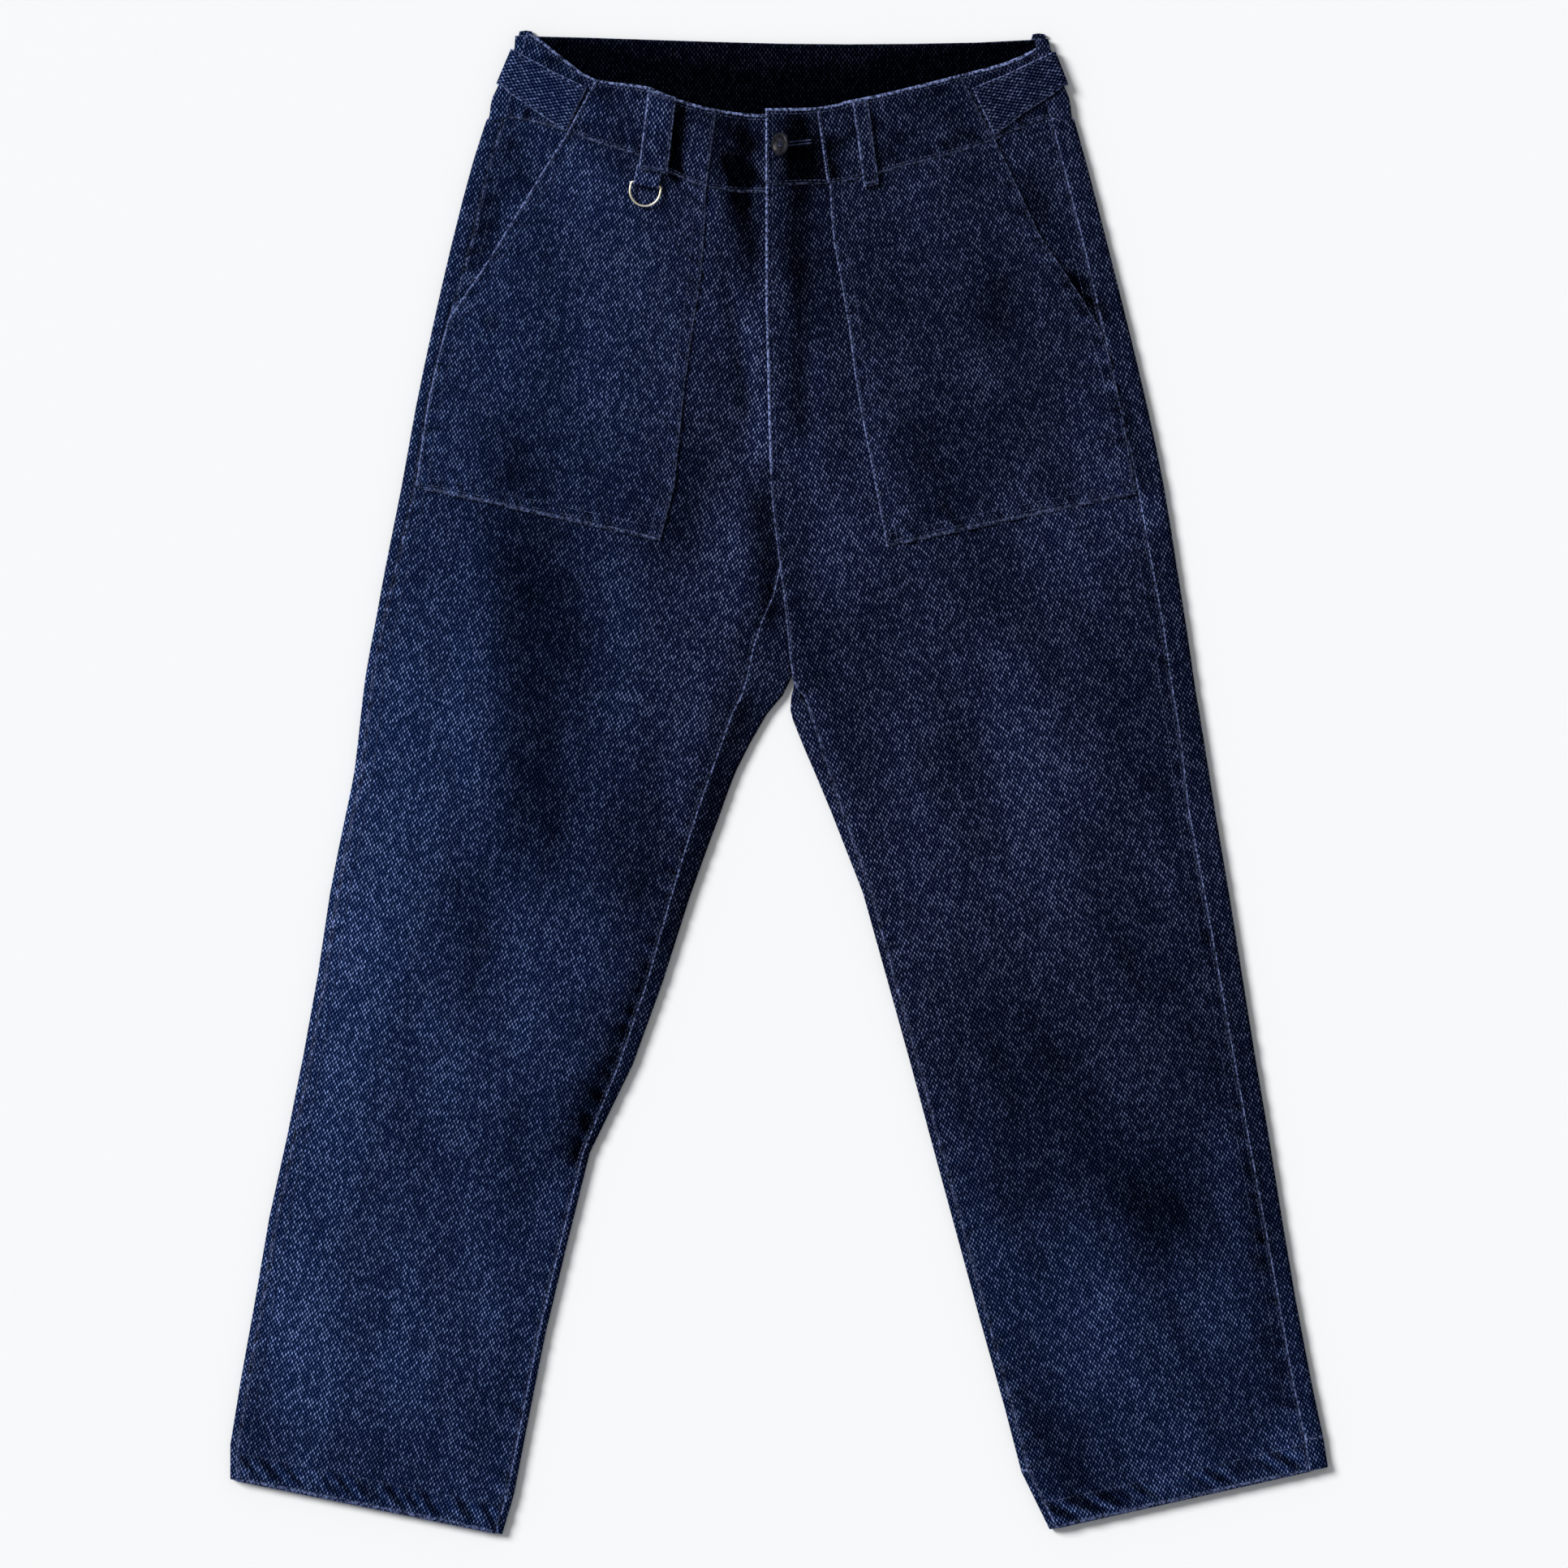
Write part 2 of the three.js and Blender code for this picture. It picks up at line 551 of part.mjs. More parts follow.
const bandPieces = {
  waistband_side_left: { ...leftBand, ...flatBand, columns: 5, ends: [-169.6, -184.9, -123.2, -142.2] },
  waistband_pocket_left: { ...leftBand, ...raisedBand, columns: 9, ends: [-122.7, -141.7, -41.8, -48.4] },
  waistband_centre_left: { ...leftBand, ...flatBand, columns: 8, ends: [-41.5, -48.1, 8.0, 8.0] },
  waistband_centre_right: { ...rightBand, ...flatBand, columns: 5, ends: [-7.7, -7.7, 26.7, 33.8] },
  waistband_pocket_right: { ...rightBand, ...raisedBand, columns: 9, ends: [27.0, 34.1, 123.2, 146.6] },
  waistband_side_right: { ...rightBand, ...flatBand, columns: 5, ends: [123.7, 147.1, 174.9, 184.8] },
};

// Back of the waistband: lies over the straps' tails and wraps round both sides to the outseams
const backBandFloor = 1.7;
const backBandWall = 1.9;
const backBandRows = [
  [-177.6, 505.6, 7.0, 183.4, 503.4, 8.1],
  [-178.2, 497.2, 5.3, 184.9, 497.2, 8.4],
  [-182.9, 486.2, 7.1, 188.6, 486.2, 10.1],
  [-187.5, 475.2, 8.7, 192.5, 475.2, 11.9],
  [-192.9, 464.2, 11.2, 197.3, 464.2, 14.6],
  [-196.6, 450.9, 11.3, 200.4, 450.9, 15.2],
];
const backBandColumns = 8;
const bandBottomY = 457.6;
const wrapFade = 25;
function backBandGeometry() {
  const outerRows = [];
  const innerRows = [];
  const radius = (edgeHeight + bandRise - backBandFloor) / 2;
  backBandRows.forEach(([leftX, leftY, leftFlap, rightX, rightY, rightFlap], i) => {
    const t = i / (backBandRows.length - 1);
    const length = Math.hypot(rightX - leftX, rightY - leftY);
    const along = [(rightX - leftX) / length, (rightY - leftY) / length];
    const place = (distance, height) => {
      const x = leftX + along[0] * distance;
      const straightY = leftY + along[1] * distance;
      const inside = ease(distance / wrapFade) * ease((length - distance) / wrapFade);
      const bend = mix(backTop(x) - straightY, bandBottomY - straightY, t) * inside;
      return [x, straightY + bend, height];
    };
    const nearLeft = turnedEdge(1, radius, leftFlap, backBandWall, backBandFloor);
    const nearRight = turnedEdge(1, radius, rightFlap, backBandWall, backBandFloor);
    const outerRow = [];
    const innerRow = [];
    for (let k = nearLeft.length - 1; k >= 0; k -= 1) {
      outerRow.push(place(...nearLeft[k].outer));
      innerRow.push(place(...nearLeft[k].inner));
    }
    for (let k = 1; k < backBandColumns; k += 1) {
      const distance = mix(nearLeft[0].outer[0], length - nearRight[0].outer[0], k / backBandColumns);
      outerRow.push(place(distance, backBandFloor));
      innerRow.push(place(distance, backBandFloor + backBandWall));
    }
    nearRight.forEach(({ outer, inner }) => {
      outerRow.push(place(length - outer[0], outer[1]));
      innerRow.push(place(length - inner[0], inner[1]));
    });
    outerRows.push(outerRow);
    innerRows.push(innerRow);
  });
  return clothGeometry(outerRows, innerRows);
}

// Cinch straps: a short tail under the back, round the side, over the side piece of the band
const strapRise = bandRise + seamGap + clothWall;
const strapTail = 16;
const strapColumns = [0, 0.34, 0.67, 1];
const leftStrapEdges = [
  [-180.6, 496.9, -190.6, 473.2],
  [-171.0, 491.6, -180.8, 466.0],
  [-150.2, 480.2, -163.0, 453.6],
  [-128.9, 470.2, -143.0, 440.4],
];
const rightStrapEdges = [
  [188.3, 495.2, 197.1, 472.7],
  [178.6, 490.8, 187.0, 466.0],
  [155.0, 479.4, 166.0, 452.4],
  [131.6, 469.8, 147.0, 437.6],
];
function strapGeometry(edges, side) {
  const radius = (edgeHeight + strapRise) / 2;
  const [topX, topY, bottomX, bottomY] = edges[0];
  const edgeLength = Math.hypot(bottomX - topX, bottomY - topY);
  const outward = [(topY - bottomY) / edgeLength, (bottomX - topX) / edgeLength].map((v) => v * side.mirror);
  const outerRows = [];
  const innerRows = [];
  for (const w of strapColumns) {
    const edge = [mix(topX, bottomX, w), mix(topY, bottomY, w)];
    const outerRow = [];
    const innerRow = [];
    const put = (row, distance, height) => {
      row.push([...edge.map((value, k) => value - outward[k] * distance), height]);
    };
    put(outerRow, radius + strapTail, 0);
    put(innerRow, radius + strapTail, clothWall);
    for (let k = 0; k <= arcSteps; k += 1) {
      const theta = (Math.PI * k) / arcSteps;
      put(outerRow, radius * (1 - Math.sin(theta)), radius * (1 - Math.cos(theta)));
      const small = radius - clothWall;
      put(innerRow, radius - small * Math.sin(theta), radius - small * Math.cos(theta));
    }
    for (let i = 1; i < edges.length; i += 1) {
      for (const t of [0.5, 1]) {
        const [x0, y0, x1, y1] = edges[i - 1].map((value, k) => mix(value, edges[i][k], t));
        if (i > 1 || t === 1) {
          const x = mix(x0, x1, w);
          const y = mix(y0, y1, w);
          const height = side.top(x, y) + strapRise;
          outerRow.push([x, y, height]);
          innerRow.push([x, y, height - clothWall]);
        }
      }
    }
    outerRows.push(outerRow);
    innerRows.push(innerRow);
  }
  return clothGeometry(outerRows, innerRows);
}

// Belt loops: flat strips that stand up off the band in their middle
const loopRows = 10;
const loopSeatGap = 0.4;
function loopGeometry({ corners, side, rises, arch }) {
  const [ax, ay, bx, by, cx, cy, dx, dy] = corners;
  const outer = [];
  for (let i = 0; i <= loopRows; i += 1) {
    const t = i / loopRows;
    const row = [];
    for (const s of [0, 0.5, 1]) {
      const x = mix(mix(ax, bx, s), mix(cx, dx, s), t);
      const y = mix(mix(ay, by, s), mix(cy, dy, s), t);
      row.push([x, y, side.top(x, y) + mix(rises[0], rises[1], t) + arch * Math.sin(Math.PI * t)]);
    }
    outer.push(row);
  }
  return clothGeometry(outer, outer.map((row) => row.map((point) => lower(point, loopWall))));
}
const loopSeat = midRise + loopSeatGap + loopWall;
const wideLoopFoot = 7.8;
const wideLoop = {
  corners: [-87.3, 468.0, -69.0, 463.0, -93.5, 414.9, -74.8, 411.6],
  side: left,
  rises: [loopSeat, wideLoopFoot],
  arch: 0.9,
};
const narrowLoop = {
  corners: [50.9, 460.6, 60.6, 462.2, 58.9, 402.9, 68.2, 404.5],
  side: right,
  rises: [loopSeat, loopSeat],
  arch: 2.0,
};

// Ends of the back's belt loops: a strip under the back band, folded up past its top edge
const loopEndWidth = 11;
const loopEndSection = [
  [-8, 0], [3.0, 0], [3.5, 0.8], [3.5, 2.4], [3.0, 3.1], [1.3, 3.1], [0.8, 2.6], [0.5, 1.3], [-8, 1.3],
];
function loopEndGeometry(x) {
  const shape = new THREE.Shape(loopEndSection.map(([along, height]) => new THREE.Vector2(along, height)));
  const geometry = new THREE.ExtrudeGeometry(shape, { depth: loopEndWidth, bevelEnabled: false });
  const axis = (...values) => new THREE.Vector3(...values);
  geometry.applyMatrix4(new THREE.Matrix4().makeBasis(axis(0, 1, 0), axis(0, 0, 1), axis(1, 0, 0)));
  geometry.translate(x - loopEndWidth / 2, backTop(x), 0);
  return geometry;
}

// D-ring, its bar and the tab that it hangs in
const wireRadius = 0.8;
const ringHalfWidth = 10.3;
const ringSide = 4.6;
const ringCorner = 1.6;
const barClearance = 0.3;
const tabWall = 0.9;
const tabHalfWidth = 8.6;
const tabLength = 12;
const barX = -88.7;
const barY = 404.6;
const barTurn = THREE.MathUtils.degToRad(-11);
const tabRadius = wireRadius + barClearance + tabWall;
const tabFloorGap = 1.0;
const barZ = left.top(barX, barY) + pocketRise + tabFloorGap + tabRadius;
const restTilt = THREE.MathUtils.degToRad(4);

// Bar along x, straight sides down -y, then a half circle; the corners are rounded
const quarterHandle = 0.5523;
const ringSteps = 40;
const wireSides = 8;
class RingLine extends THREE.Curve {
  constructor() {
    super();
    this.pieces = new THREE.CurvePath();
    const w = ringHalfWidth;
    const r = ringCorner;
    const v = (x, y) => new THREE.Vector3(x, y, 0);
    this.pieces.add(new THREE.LineCurve3(v(-w + r, 0), v(w - r, 0)));
    this.pieces.add(new THREE.QuadraticBezierCurve3(v(w - r, 0), v(w, 0), v(w, -r)));
    this.pieces.add(new THREE.LineCurve3(v(w, -r), v(w, -ringSide)));
    const k = quarterHandle * w;
    const end = -ringSide;
    const low = end - w;
    this.pieces.add(new THREE.CubicBezierCurve3(v(w, end), v(w, end - k), v(k, low), v(0, low)));
    this.pieces.add(new THREE.CubicBezierCurve3(v(0, low), v(-k, low), v(-w, end - k), v(-w, end)));
    this.pieces.add(new THREE.LineCurve3(v(-w, -ringSide), v(-w, -r)));
    this.pieces.add(new THREE.QuadraticBezierCurve3(v(-w, -r), v(-w, 0), v(-w + r, 0)));
  }

  getPoint(t) {
    return this.pieces.getPoint(t);
  }
}

function ringGeometry() {
  const geometry = new THREE.TubeGeometry(new RingLine(), ringSteps, wireRadius, wireSides, true);
  geometry.rotateX(restTilt);
  geometry.rotateZ(barTurn);
  geometry.translate(barX, barY, barZ);
  return geometry;
}

// Tab, in section across the bar: upper leg, round the bar, lower leg back under the belt loop
const tabArcSteps = 6;
function tabGeometry() {
  const innerRadius = tabRadius - tabWall;
  const pinch = 2 * tabWall + seamGap - tabRadius;
  const outerLine = [[tabLength, pinch]];
  const innerLine = [[tabLength, pinch - tabWall]];
  for (let k = 0; k <= tabArcSteps; k += 1) {
    const angle = Math.PI / 2 + (Math.PI * k) / tabArcSteps;
    outerLine.push([Math.cos(angle) * tabRadius, Math.sin(angle) * tabRadius]);
    innerLine.push([Math.cos(angle) * innerRadius, Math.sin(angle) * innerRadius]);
  }
  outerLine.push([tabLength, -tabRadius]);
  innerLine.push([tabLength, -innerRadius]);
  const rows = (line) => line.map(([along, height]) => [-tabHalfWidth, 0, tabHalfWidth].map((across) => {
    const x = barX + Math.cos(barTurn) * across - Math.sin(barTurn) * along;
    const y = barY + Math.sin(barTurn) * across + Math.cos(barTurn) * along;
    return [x, y, barZ + height];
  }));
  return clothGeometry(rows(outerLine), rows(innerLine));
}

// Joins and cuts
function toSolid(geometry) {
  const plain = geometry.clone();
  plain.deleteAttribute('normal');
  plain.deleteAttribute('uv');
  const merged = mergeVertices(plain, 1e-4);
  return new wasm.Manifold(new wasm.Mesh({
    numProp: 3,
    vertProperties: new Float32Array(merged.attributes.position.array),
    triVerts: new Uint32Array(merged.index.array),
  }));
}
function toGeometry(solid) {
  const mesh = solid.getMesh();
  const geometry = new THREE.BufferGeometry();
  geometry.setAttribute('position', new THREE.BufferAttribute(new Float32Array(mesh.vertProperties), 3));
  geometry.setIndex(new THREE.BufferAttribute(new Uint32Array(mesh.triVerts), 1));
  geometry.computeVertexNormals();
  return geometry;
}

// Button: a dished disc with a broad rim and four holes, tilted on its thread
const buttonRadius = 8;
const buttonHeight = 2.8;
const buttonHole = 0.85;
const buttonHolePitch = 1.75;
const buttonTilt = THREE.MathUtils.degToRad(-46);
const buttonFloat = 0.5;
const shankX = 1.7;
const shankY = 431.2;
const shankRadius = 1.1;
const shankSeatGap = 0.4;
const shankSink = 0.2;
const roundSides = 28;
const holeSides = 10;
const eyeRadius = 1.7;
const eyeSides = 14;
const slitLength = 22;
const slitWidth = 0.6;
const slitTurn = THREE.MathUtils.degToRad(6);
const cutDepth = 40;
const bandTopAtButton = right.top(shankX, shankY) + bandRise;
const buttonReach = Math.sin(-buttonTilt) * buttonRadius + Math.cos(buttonTilt) * (buttonHeight / 2);
const buttonZ = bandTopAtButton + buttonFloat + buttonReach;

function buttonGeometry() {
  const h = buttonHeight / 2;
  const profile = [
    [0, -h], [5.6, -h], [7.2, -h + 0.7], [buttonRadius, 0], [7.6, h - 0.4],
    [6.6, h], [5.2, h - 0.25], [4.2, h - 0.95], [0, h - 1.05],
  ];
  const disc = new THREE.LatheGeometry(profile.map(([r, z]) => new THREE.Vector2(r, z)), roundSides);
  disc.rotateX(Math.PI / 2);
  let solid = toSolid(disc);
  for (let k = 0; k < 4; k += 1) {
    const angle = Math.PI / 4 + (Math.PI / 2) * k;
    const hole = new THREE.CylinderGeometry(buttonHole, buttonHole, buttonHeight * 2, holeSides);
    hole.rotateX(Math.PI / 2);
    hole.translate(Math.cos(angle) * buttonHolePitch, Math.sin(angle) * buttonHolePitch, 0);
    solid = solid.subtract(toSolid(hole));
  }
  const tilted = toGeometry(solid);
  tilted.rotateY(buttonTilt);
  tilted.translate(shankX, shankY, buttonZ);
  const foot = left.top(shankX, shankY) + bandRise + shankSeatGap;
  const shankTop = buttonZ - shankSink;
  const shank = new THREE.CylinderGeometry(shankRadius, shankRadius, shankTop - foot, holeSides);
  shank.rotateX(Math.PI / 2);
  shank.translate(shankX, shankY, (shankTop + foot) / 2);
  return toGeometry(toSolid(tilted).add(toSolid(shank)));
}

// Buttonhole: a round eye for the thread and a slit beside it, cut through the overlap
function withButtonhole(geometry) {
  const eye = new THREE.CylinderGeometry(eyeRadius, eyeRadius, cutDepth, eyeSides);
  eye.rotateX(Math.PI / 2);
  eye.translate(shankX, shankY, bandTopAtButton);
  const slit = new THREE.BoxGeometry(slitLength, slitWidth, cutDepth);
  slit.translate(slitLength / 2, 0, 0);
  slit.rotateZ(slitTurn);
  slit.translate(shankX, shankY, bandTopAtButton);
  return toGeometry(toSolid(geometry).subtract(toSolid(eye)).subtract(toSolid(slit)));
}

// Assembly
const pants = new THREE.Group();
function addPiece(name, geometry, finish) {
  const mesh = new THREE.Mesh(geometry, new THREE.MeshStandardMaterial(finish));
  mesh.name = name;
  pants.add(mesh);
}

addPiece('back_left', backLegGeometry(left), indigo);
addPiece('back_right', backLegGeometry(right), indigo);
addPiece('front_left', frontLegGeometry(left), indigo);
addPiece('front_right', frontLegGeometry(right), indigo);
addPiece('pocket_left', pocketGeometry(leftPocketRows, left), indigoLight);
addPiece('pocket_right', pocketGeometry(rightPocketRows, right), indigoLight);
addPiece('waistband_back', backBandGeometry(), indigo);
for (const [name, piece] of Object.entries(bandPieces)) {
  const geometry = bandGeometry(piece);
  addPiece(name, name === 'waistband_centre_right' ? withButtonhole(geometry) : geometry, indigoLight);
}
addPiece('strap_left', strapGeometry(leftStrapEdges, left), indigoLight);
addPiece('strap_right', strapGeometry(rightStrapEdges, right), indigoLight);
addPiece('belt_loop_left', loopGeometry(wideLoop), indigoLight);
addPiece('belt_loop_right', loopGeometry(narrowLoop), indigoLight);
addPiece('loop_end_left', loopEndGeometry(-170.5), indigo);
addPiece('loop_end_right', loopEndGeometry(177), indigo);
addPiece('ring_tab', tabGeometry(), indigoLight);
addPiece('d_ring', ringGeometry(), brass);
addPiece('button', buttonGeometry(), horn);

export default pants;
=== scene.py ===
import math

import bmesh
import bpy
import numpy as np
from mathutils import Matrix, Vector
from mathutils.bvhtree import BVHTree
from mathutils.kdtree import KDTree


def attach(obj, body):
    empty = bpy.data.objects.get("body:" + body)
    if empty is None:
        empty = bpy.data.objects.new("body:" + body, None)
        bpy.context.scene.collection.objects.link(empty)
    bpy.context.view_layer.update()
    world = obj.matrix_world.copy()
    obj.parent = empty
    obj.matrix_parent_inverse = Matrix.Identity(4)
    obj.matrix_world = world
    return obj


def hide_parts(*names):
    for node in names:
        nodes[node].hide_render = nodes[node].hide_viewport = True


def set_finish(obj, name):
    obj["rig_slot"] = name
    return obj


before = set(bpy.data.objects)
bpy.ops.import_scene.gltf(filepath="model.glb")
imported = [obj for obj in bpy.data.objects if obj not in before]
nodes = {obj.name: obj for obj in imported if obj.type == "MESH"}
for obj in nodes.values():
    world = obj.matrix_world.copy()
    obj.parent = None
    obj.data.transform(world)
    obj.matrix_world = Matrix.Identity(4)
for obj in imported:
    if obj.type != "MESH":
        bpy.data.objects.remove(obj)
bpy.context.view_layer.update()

# Table and camera
# The trousers lie flat on a plain white table and are seen from straight above.
# Soft daylight comes in low from the upper left, so folds shade to the right.
camera_height = 8.0
frame_width = 1.0626
camera_place = (0.0044, -0.0011)
sensor = 36.0
sun_strength = 3.9
sun_spread = math.radians(24)
sky_strength = 0.32


def add_object(name, data):
    thing = bpy.data.objects.new(name, data)
    bpy.context.scene.collection.objects.link(thing)
    return thing


camera = add_object("camera", bpy.data.cameras.new("camera"))
camera.location = (*camera_place, camera_height)
camera.data.sensor_width = sensor
camera.data.lens = sensor * camera_height / frame_width
bpy.context.scene.camera = camera
bpy.context.scene.view_settings.view_transform = "Standard"

bpy.ops.object.select_all(action="DESELECT")
bpy.ops.mesh.primitive_plane_add(size=8, location=(0, 0, -0.0002))
table = bpy.context.object
table.name = "table_top"
table_paint = bpy.data.materials.new("table_paint")
table_paint.use_nodes = True
table_shader = table_paint.node_tree.nodes["Principled BSDF"]
table_shader.inputs["Base Color"].default_value = (0.9, 0.9, 0.9, 1)
table_shader.inputs["Roughness"].default_value = 0.9
table.data.materials.append(table_paint)

key = add_object("window_light", bpy.data.lights.new("window_light", "SUN"))
key.data.energy = sun_strength
key.data.angle = sun_spread
key_from = Vector((-0.72, 0.42, 0.62))
key.rotation_mode = "QUATERNION"
key.rotation_quaternion = key_from.to_track_quat("Z", "Y")
world = bpy.data.worlds.new("room_light")
world.use_nodes = True
world.node_tree.nodes["Background"].inputs["Color"].default_value = (0.94, 0.97, 1.0, 1)
world.node_tree.nodes["Background"].inputs["Strength"].default_value = sky_strength
bpy.context.scene.world = world

# Backs of the legs
# One panel a leg, of indigo cotton with a rice-grain weave: pale floats of yarn in staggered rows on a
# dark ground. It lies flat on the table, turns up at both pressed edges and comes round onto the front,
# as a strip beside the outseam and, at the crotch, a wider flap. Lengths are in millimetres.
mm = 0.001
across_repeat = 2.62
along_repeat = 3.72
pocket_fineness = 0.96
grain_half_width = 0.36
grain_half_length = 0.76
rub_width = 0.95
seam_overlap = 0.45
tone_share = 0.36
unwashed = 0.49
chance_bend = 2.3
chance_gain = 0.92
least_pale = 0.21
slip_most = 0.55


def add_node(tree, kind, inputs=None, **settings):
    """A shader node with its settings, and its inputs linked or set."""
    node = tree.nodes.new(kind)
    for name, value in settings.items():
        setattr(node, name, value)
    for name, value in (inputs or {}).items():
        if isinstance(value, bpy.types.NodeSocket):
            tree.links.new(value, node.inputs[name])
        else:
            node.inputs[name].default_value = value
    return node


def calc(tree, operation, *values, clamp=False):
    inputs = dict(enumerate(values))
    return add_node(tree, "ShaderNodeMath", inputs, operation=operation, use_clamp=clamp).outputs[0]


def vector_calc(tree, operation, *values):
    return add_node(tree, "ShaderNodeVectorMath", dict(enumerate(values)), operation=operation).outputs[0]


def ramp(tree, value, low, high, to_low=0.0, to_high=1.0):
    inputs = {"Value": value, "From Min": low, "From Max": high, "To Min": to_low, "To Max": to_high}
    return add_node(tree, "ShaderNodeMapRange", inputs, interpolation_type="SMOOTHSTEP").outputs[0]


def mix_colour(tree, share, first, second):
    node = tree.nodes.new("ShaderNodeMix")
    node.data_type = "RGBA"
    for socket, value in ((0, share), (6, first), (7, second)):
        if isinstance(value, bpy.types.NodeSocket):
            tree.links.new(value, node.inputs[socket])
        else:
            node.inputs[socket].default_value = value
    return node.outputs[2]


def noise(tree, place, scale, detail=2.0):
    inputs = {"Vector": place, "Scale": scale, "Detail": detail, "Roughness": 0.55}
    return add_node(tree, "ShaderNodeTexNoise", inputs).outputs["Fac"]


def new_group(name, inputs, outputs):
    group = bpy.data.node_groups.new(name, "ShaderNodeTree")
    for label, kind in inputs:
        group.interface.new_socket(label, in_out="INPUT", socket_type=kind)
    for label, kind in outputs:
        group.interface.new_socket(label, in_out="OUTPUT", socket_type=kind)
    return group, group.nodes.new("NodeGroupInput"), group.nodes.new("NodeGroupOutput")


def make_weave_group():
    """Rice-grain weave. Place is in millimetres, with the warp along its second axis."""
    group, given, out = new_group(
        "rice_grain_weave",
        [("Place", "NodeSocketVector")],
        [("Grain", "NodeSocketFloat"), ("Chance", "NodeSocketFloat"), ("Height", "NodeSocketFloat")],
    )
    place = given.outputs["Place"]
    wobble = add_node(group, "ShaderNodeTexNoise", {"Vector": place, "Scale": 0.04, "Detail": 1.0})
    shifted = vector_calc(group, "SUBTRACT", wobble.outputs["Color"], (0.5, 0.5, 0.5))
    shifted = vector_calc(group, "MULTIPLY", shifted, (0.25, 0.25, 0.0))
    scaled = vector_calc(group, "MULTIPLY", place, (1 / across_repeat, 1 / along_repeat, 0.0))
    scaled = vector_calc(group, "ADD", scaled, shifted)
    lengths = []
    chances = []
    for stagger in (0.0, 0.5):
        row = vector_calc(group, "ADD", scaled, (stagger, stagger, 0.0))
        cell = vector_calc(group, "ADD", vector_calc(group, "FLOOR", row), (stagger, 7 * stagger, 0.0))
        local = vector_calc(group, "SUBTRACT", vector_calc(group, "FRACTION", row), (0.5, 0.5, 0.0))
        stretch = (across_repeat / grain_half_width, along_repeat / grain_half_length, 0.0)
        local = vector_calc(group, "MULTIPLY", local, stretch)
        dice = add_node(group, "ShaderNodeTexWhiteNoise", {"Vector": cell})
        slip = vector_calc(group, "SUBTRACT", dice.outputs["Color"], (0.5, 0.5, 0.5))
        slip = vector_calc(group, "MULTIPLY", slip, (slip_most, slip_most, 0.0))
        local = vector_calc(group, "ADD", local, slip)
        length = add_node(group, "ShaderNodeVectorMath", {0: local}, operation="LENGTH").outputs["Value"]
        size = ramp(group, dice.outputs["Value"], 0.0, 1.0, 1.12, 0.92)
        lengths.append(calc(group, "MULTIPLY", length, size))
        chances.append(dice.outputs["Value"])
    nearest = calc(group, "MINIMUM", *lengths)
    first_is_near = calc(group, "LESS_THAN", lengths[0], lengths[1])
    pick = {0: first_is_near, 2: chances[1], 3: chances[0]}
    chance = add_node(group, "ShaderNodeMix", pick, data_type="FLOAT").outputs[0]
    grain = ramp(group, nearest, 1.8, 0.15)
    fuzz = ramp(group, noise(group, place, 1.3, 3.0), 0.3, 0.6, 0.8, 1.0)
    group.links.new(calc(group, "MULTIPLY", grain, fuzz), out.inputs["Grain"])
    group.links.new(chance, out.inputs["Chance"])
    group.links.new(grain, out.inputs["Height"])
    return group


def make_wear_group():
    """How far a spot is rubbed pale: in patches, in streaks along the warp and along worn edges."""
    group, given, out = new_group(
        "wash_and_wear",
        [("Place", "NodeSocketVector"), ("Rim", "NodeSocketFloat"), ("Rub", "NodeSocketFloat")],
        [("Pale", "NodeSocketFloat"), ("Line", "NodeSocketFloat")],
    )
    place = given.outputs["Place"]
    patch = ramp(group, noise(group, place, 0.016, 3.0), 0.3, 0.7)
    streak_place = vector_calc(group, "MULTIPLY", place, (0.2, 0.014, 0.0))
    streak = ramp(group, noise(group, streak_place, 1.0, 3.0), 0.25, 0.75)
    pale = calc(group, "MULTIPLY_ADD", patch, 0.55, calc(group, "MULTIPLY", streak, 0.45))
    near_edge = ramp(group, given.outputs["Rim"], rub_width, 0.2)
    broken = ramp(group, noise(group, place, 0.45, 3.0), 0.42, 0.62, 0.05, 1.0)
    rubbed = calc(group, "MULTIPLY", near_edge, given.outputs["Rub"])
    line = calc(group, "MULTIPLY", rubbed, broken, clamp=True)
    group.links.new(pale, out.inputs["Pale"])
    group.links.new(line, out.inputs["Line"])
    return group


weave_group = make_weave_group()
wear_group = make_wear_group()

ground_blue = (0.0004, 0.0042, 0.03, 1)
ground_violet = (0.0004, 0.0018, 0.015, 1)
weft_blue = (0.002, 0.012, 0.064, 1)
weft_violet = (0.002, 0.006, 0.033, 1)
grain_dim_blue = (0.004, 0.015, 0.064, 1)
grain_dim_violet = (0.0045, 0.008, 0.035, 1)
grain_pale_blue = (0.34, 0.48, 0.96, 1)
grain_pale_violet = (0.305, 0.37, 0.67, 1)
worn_edge = (0.25, 0.31, 0.6, 1)


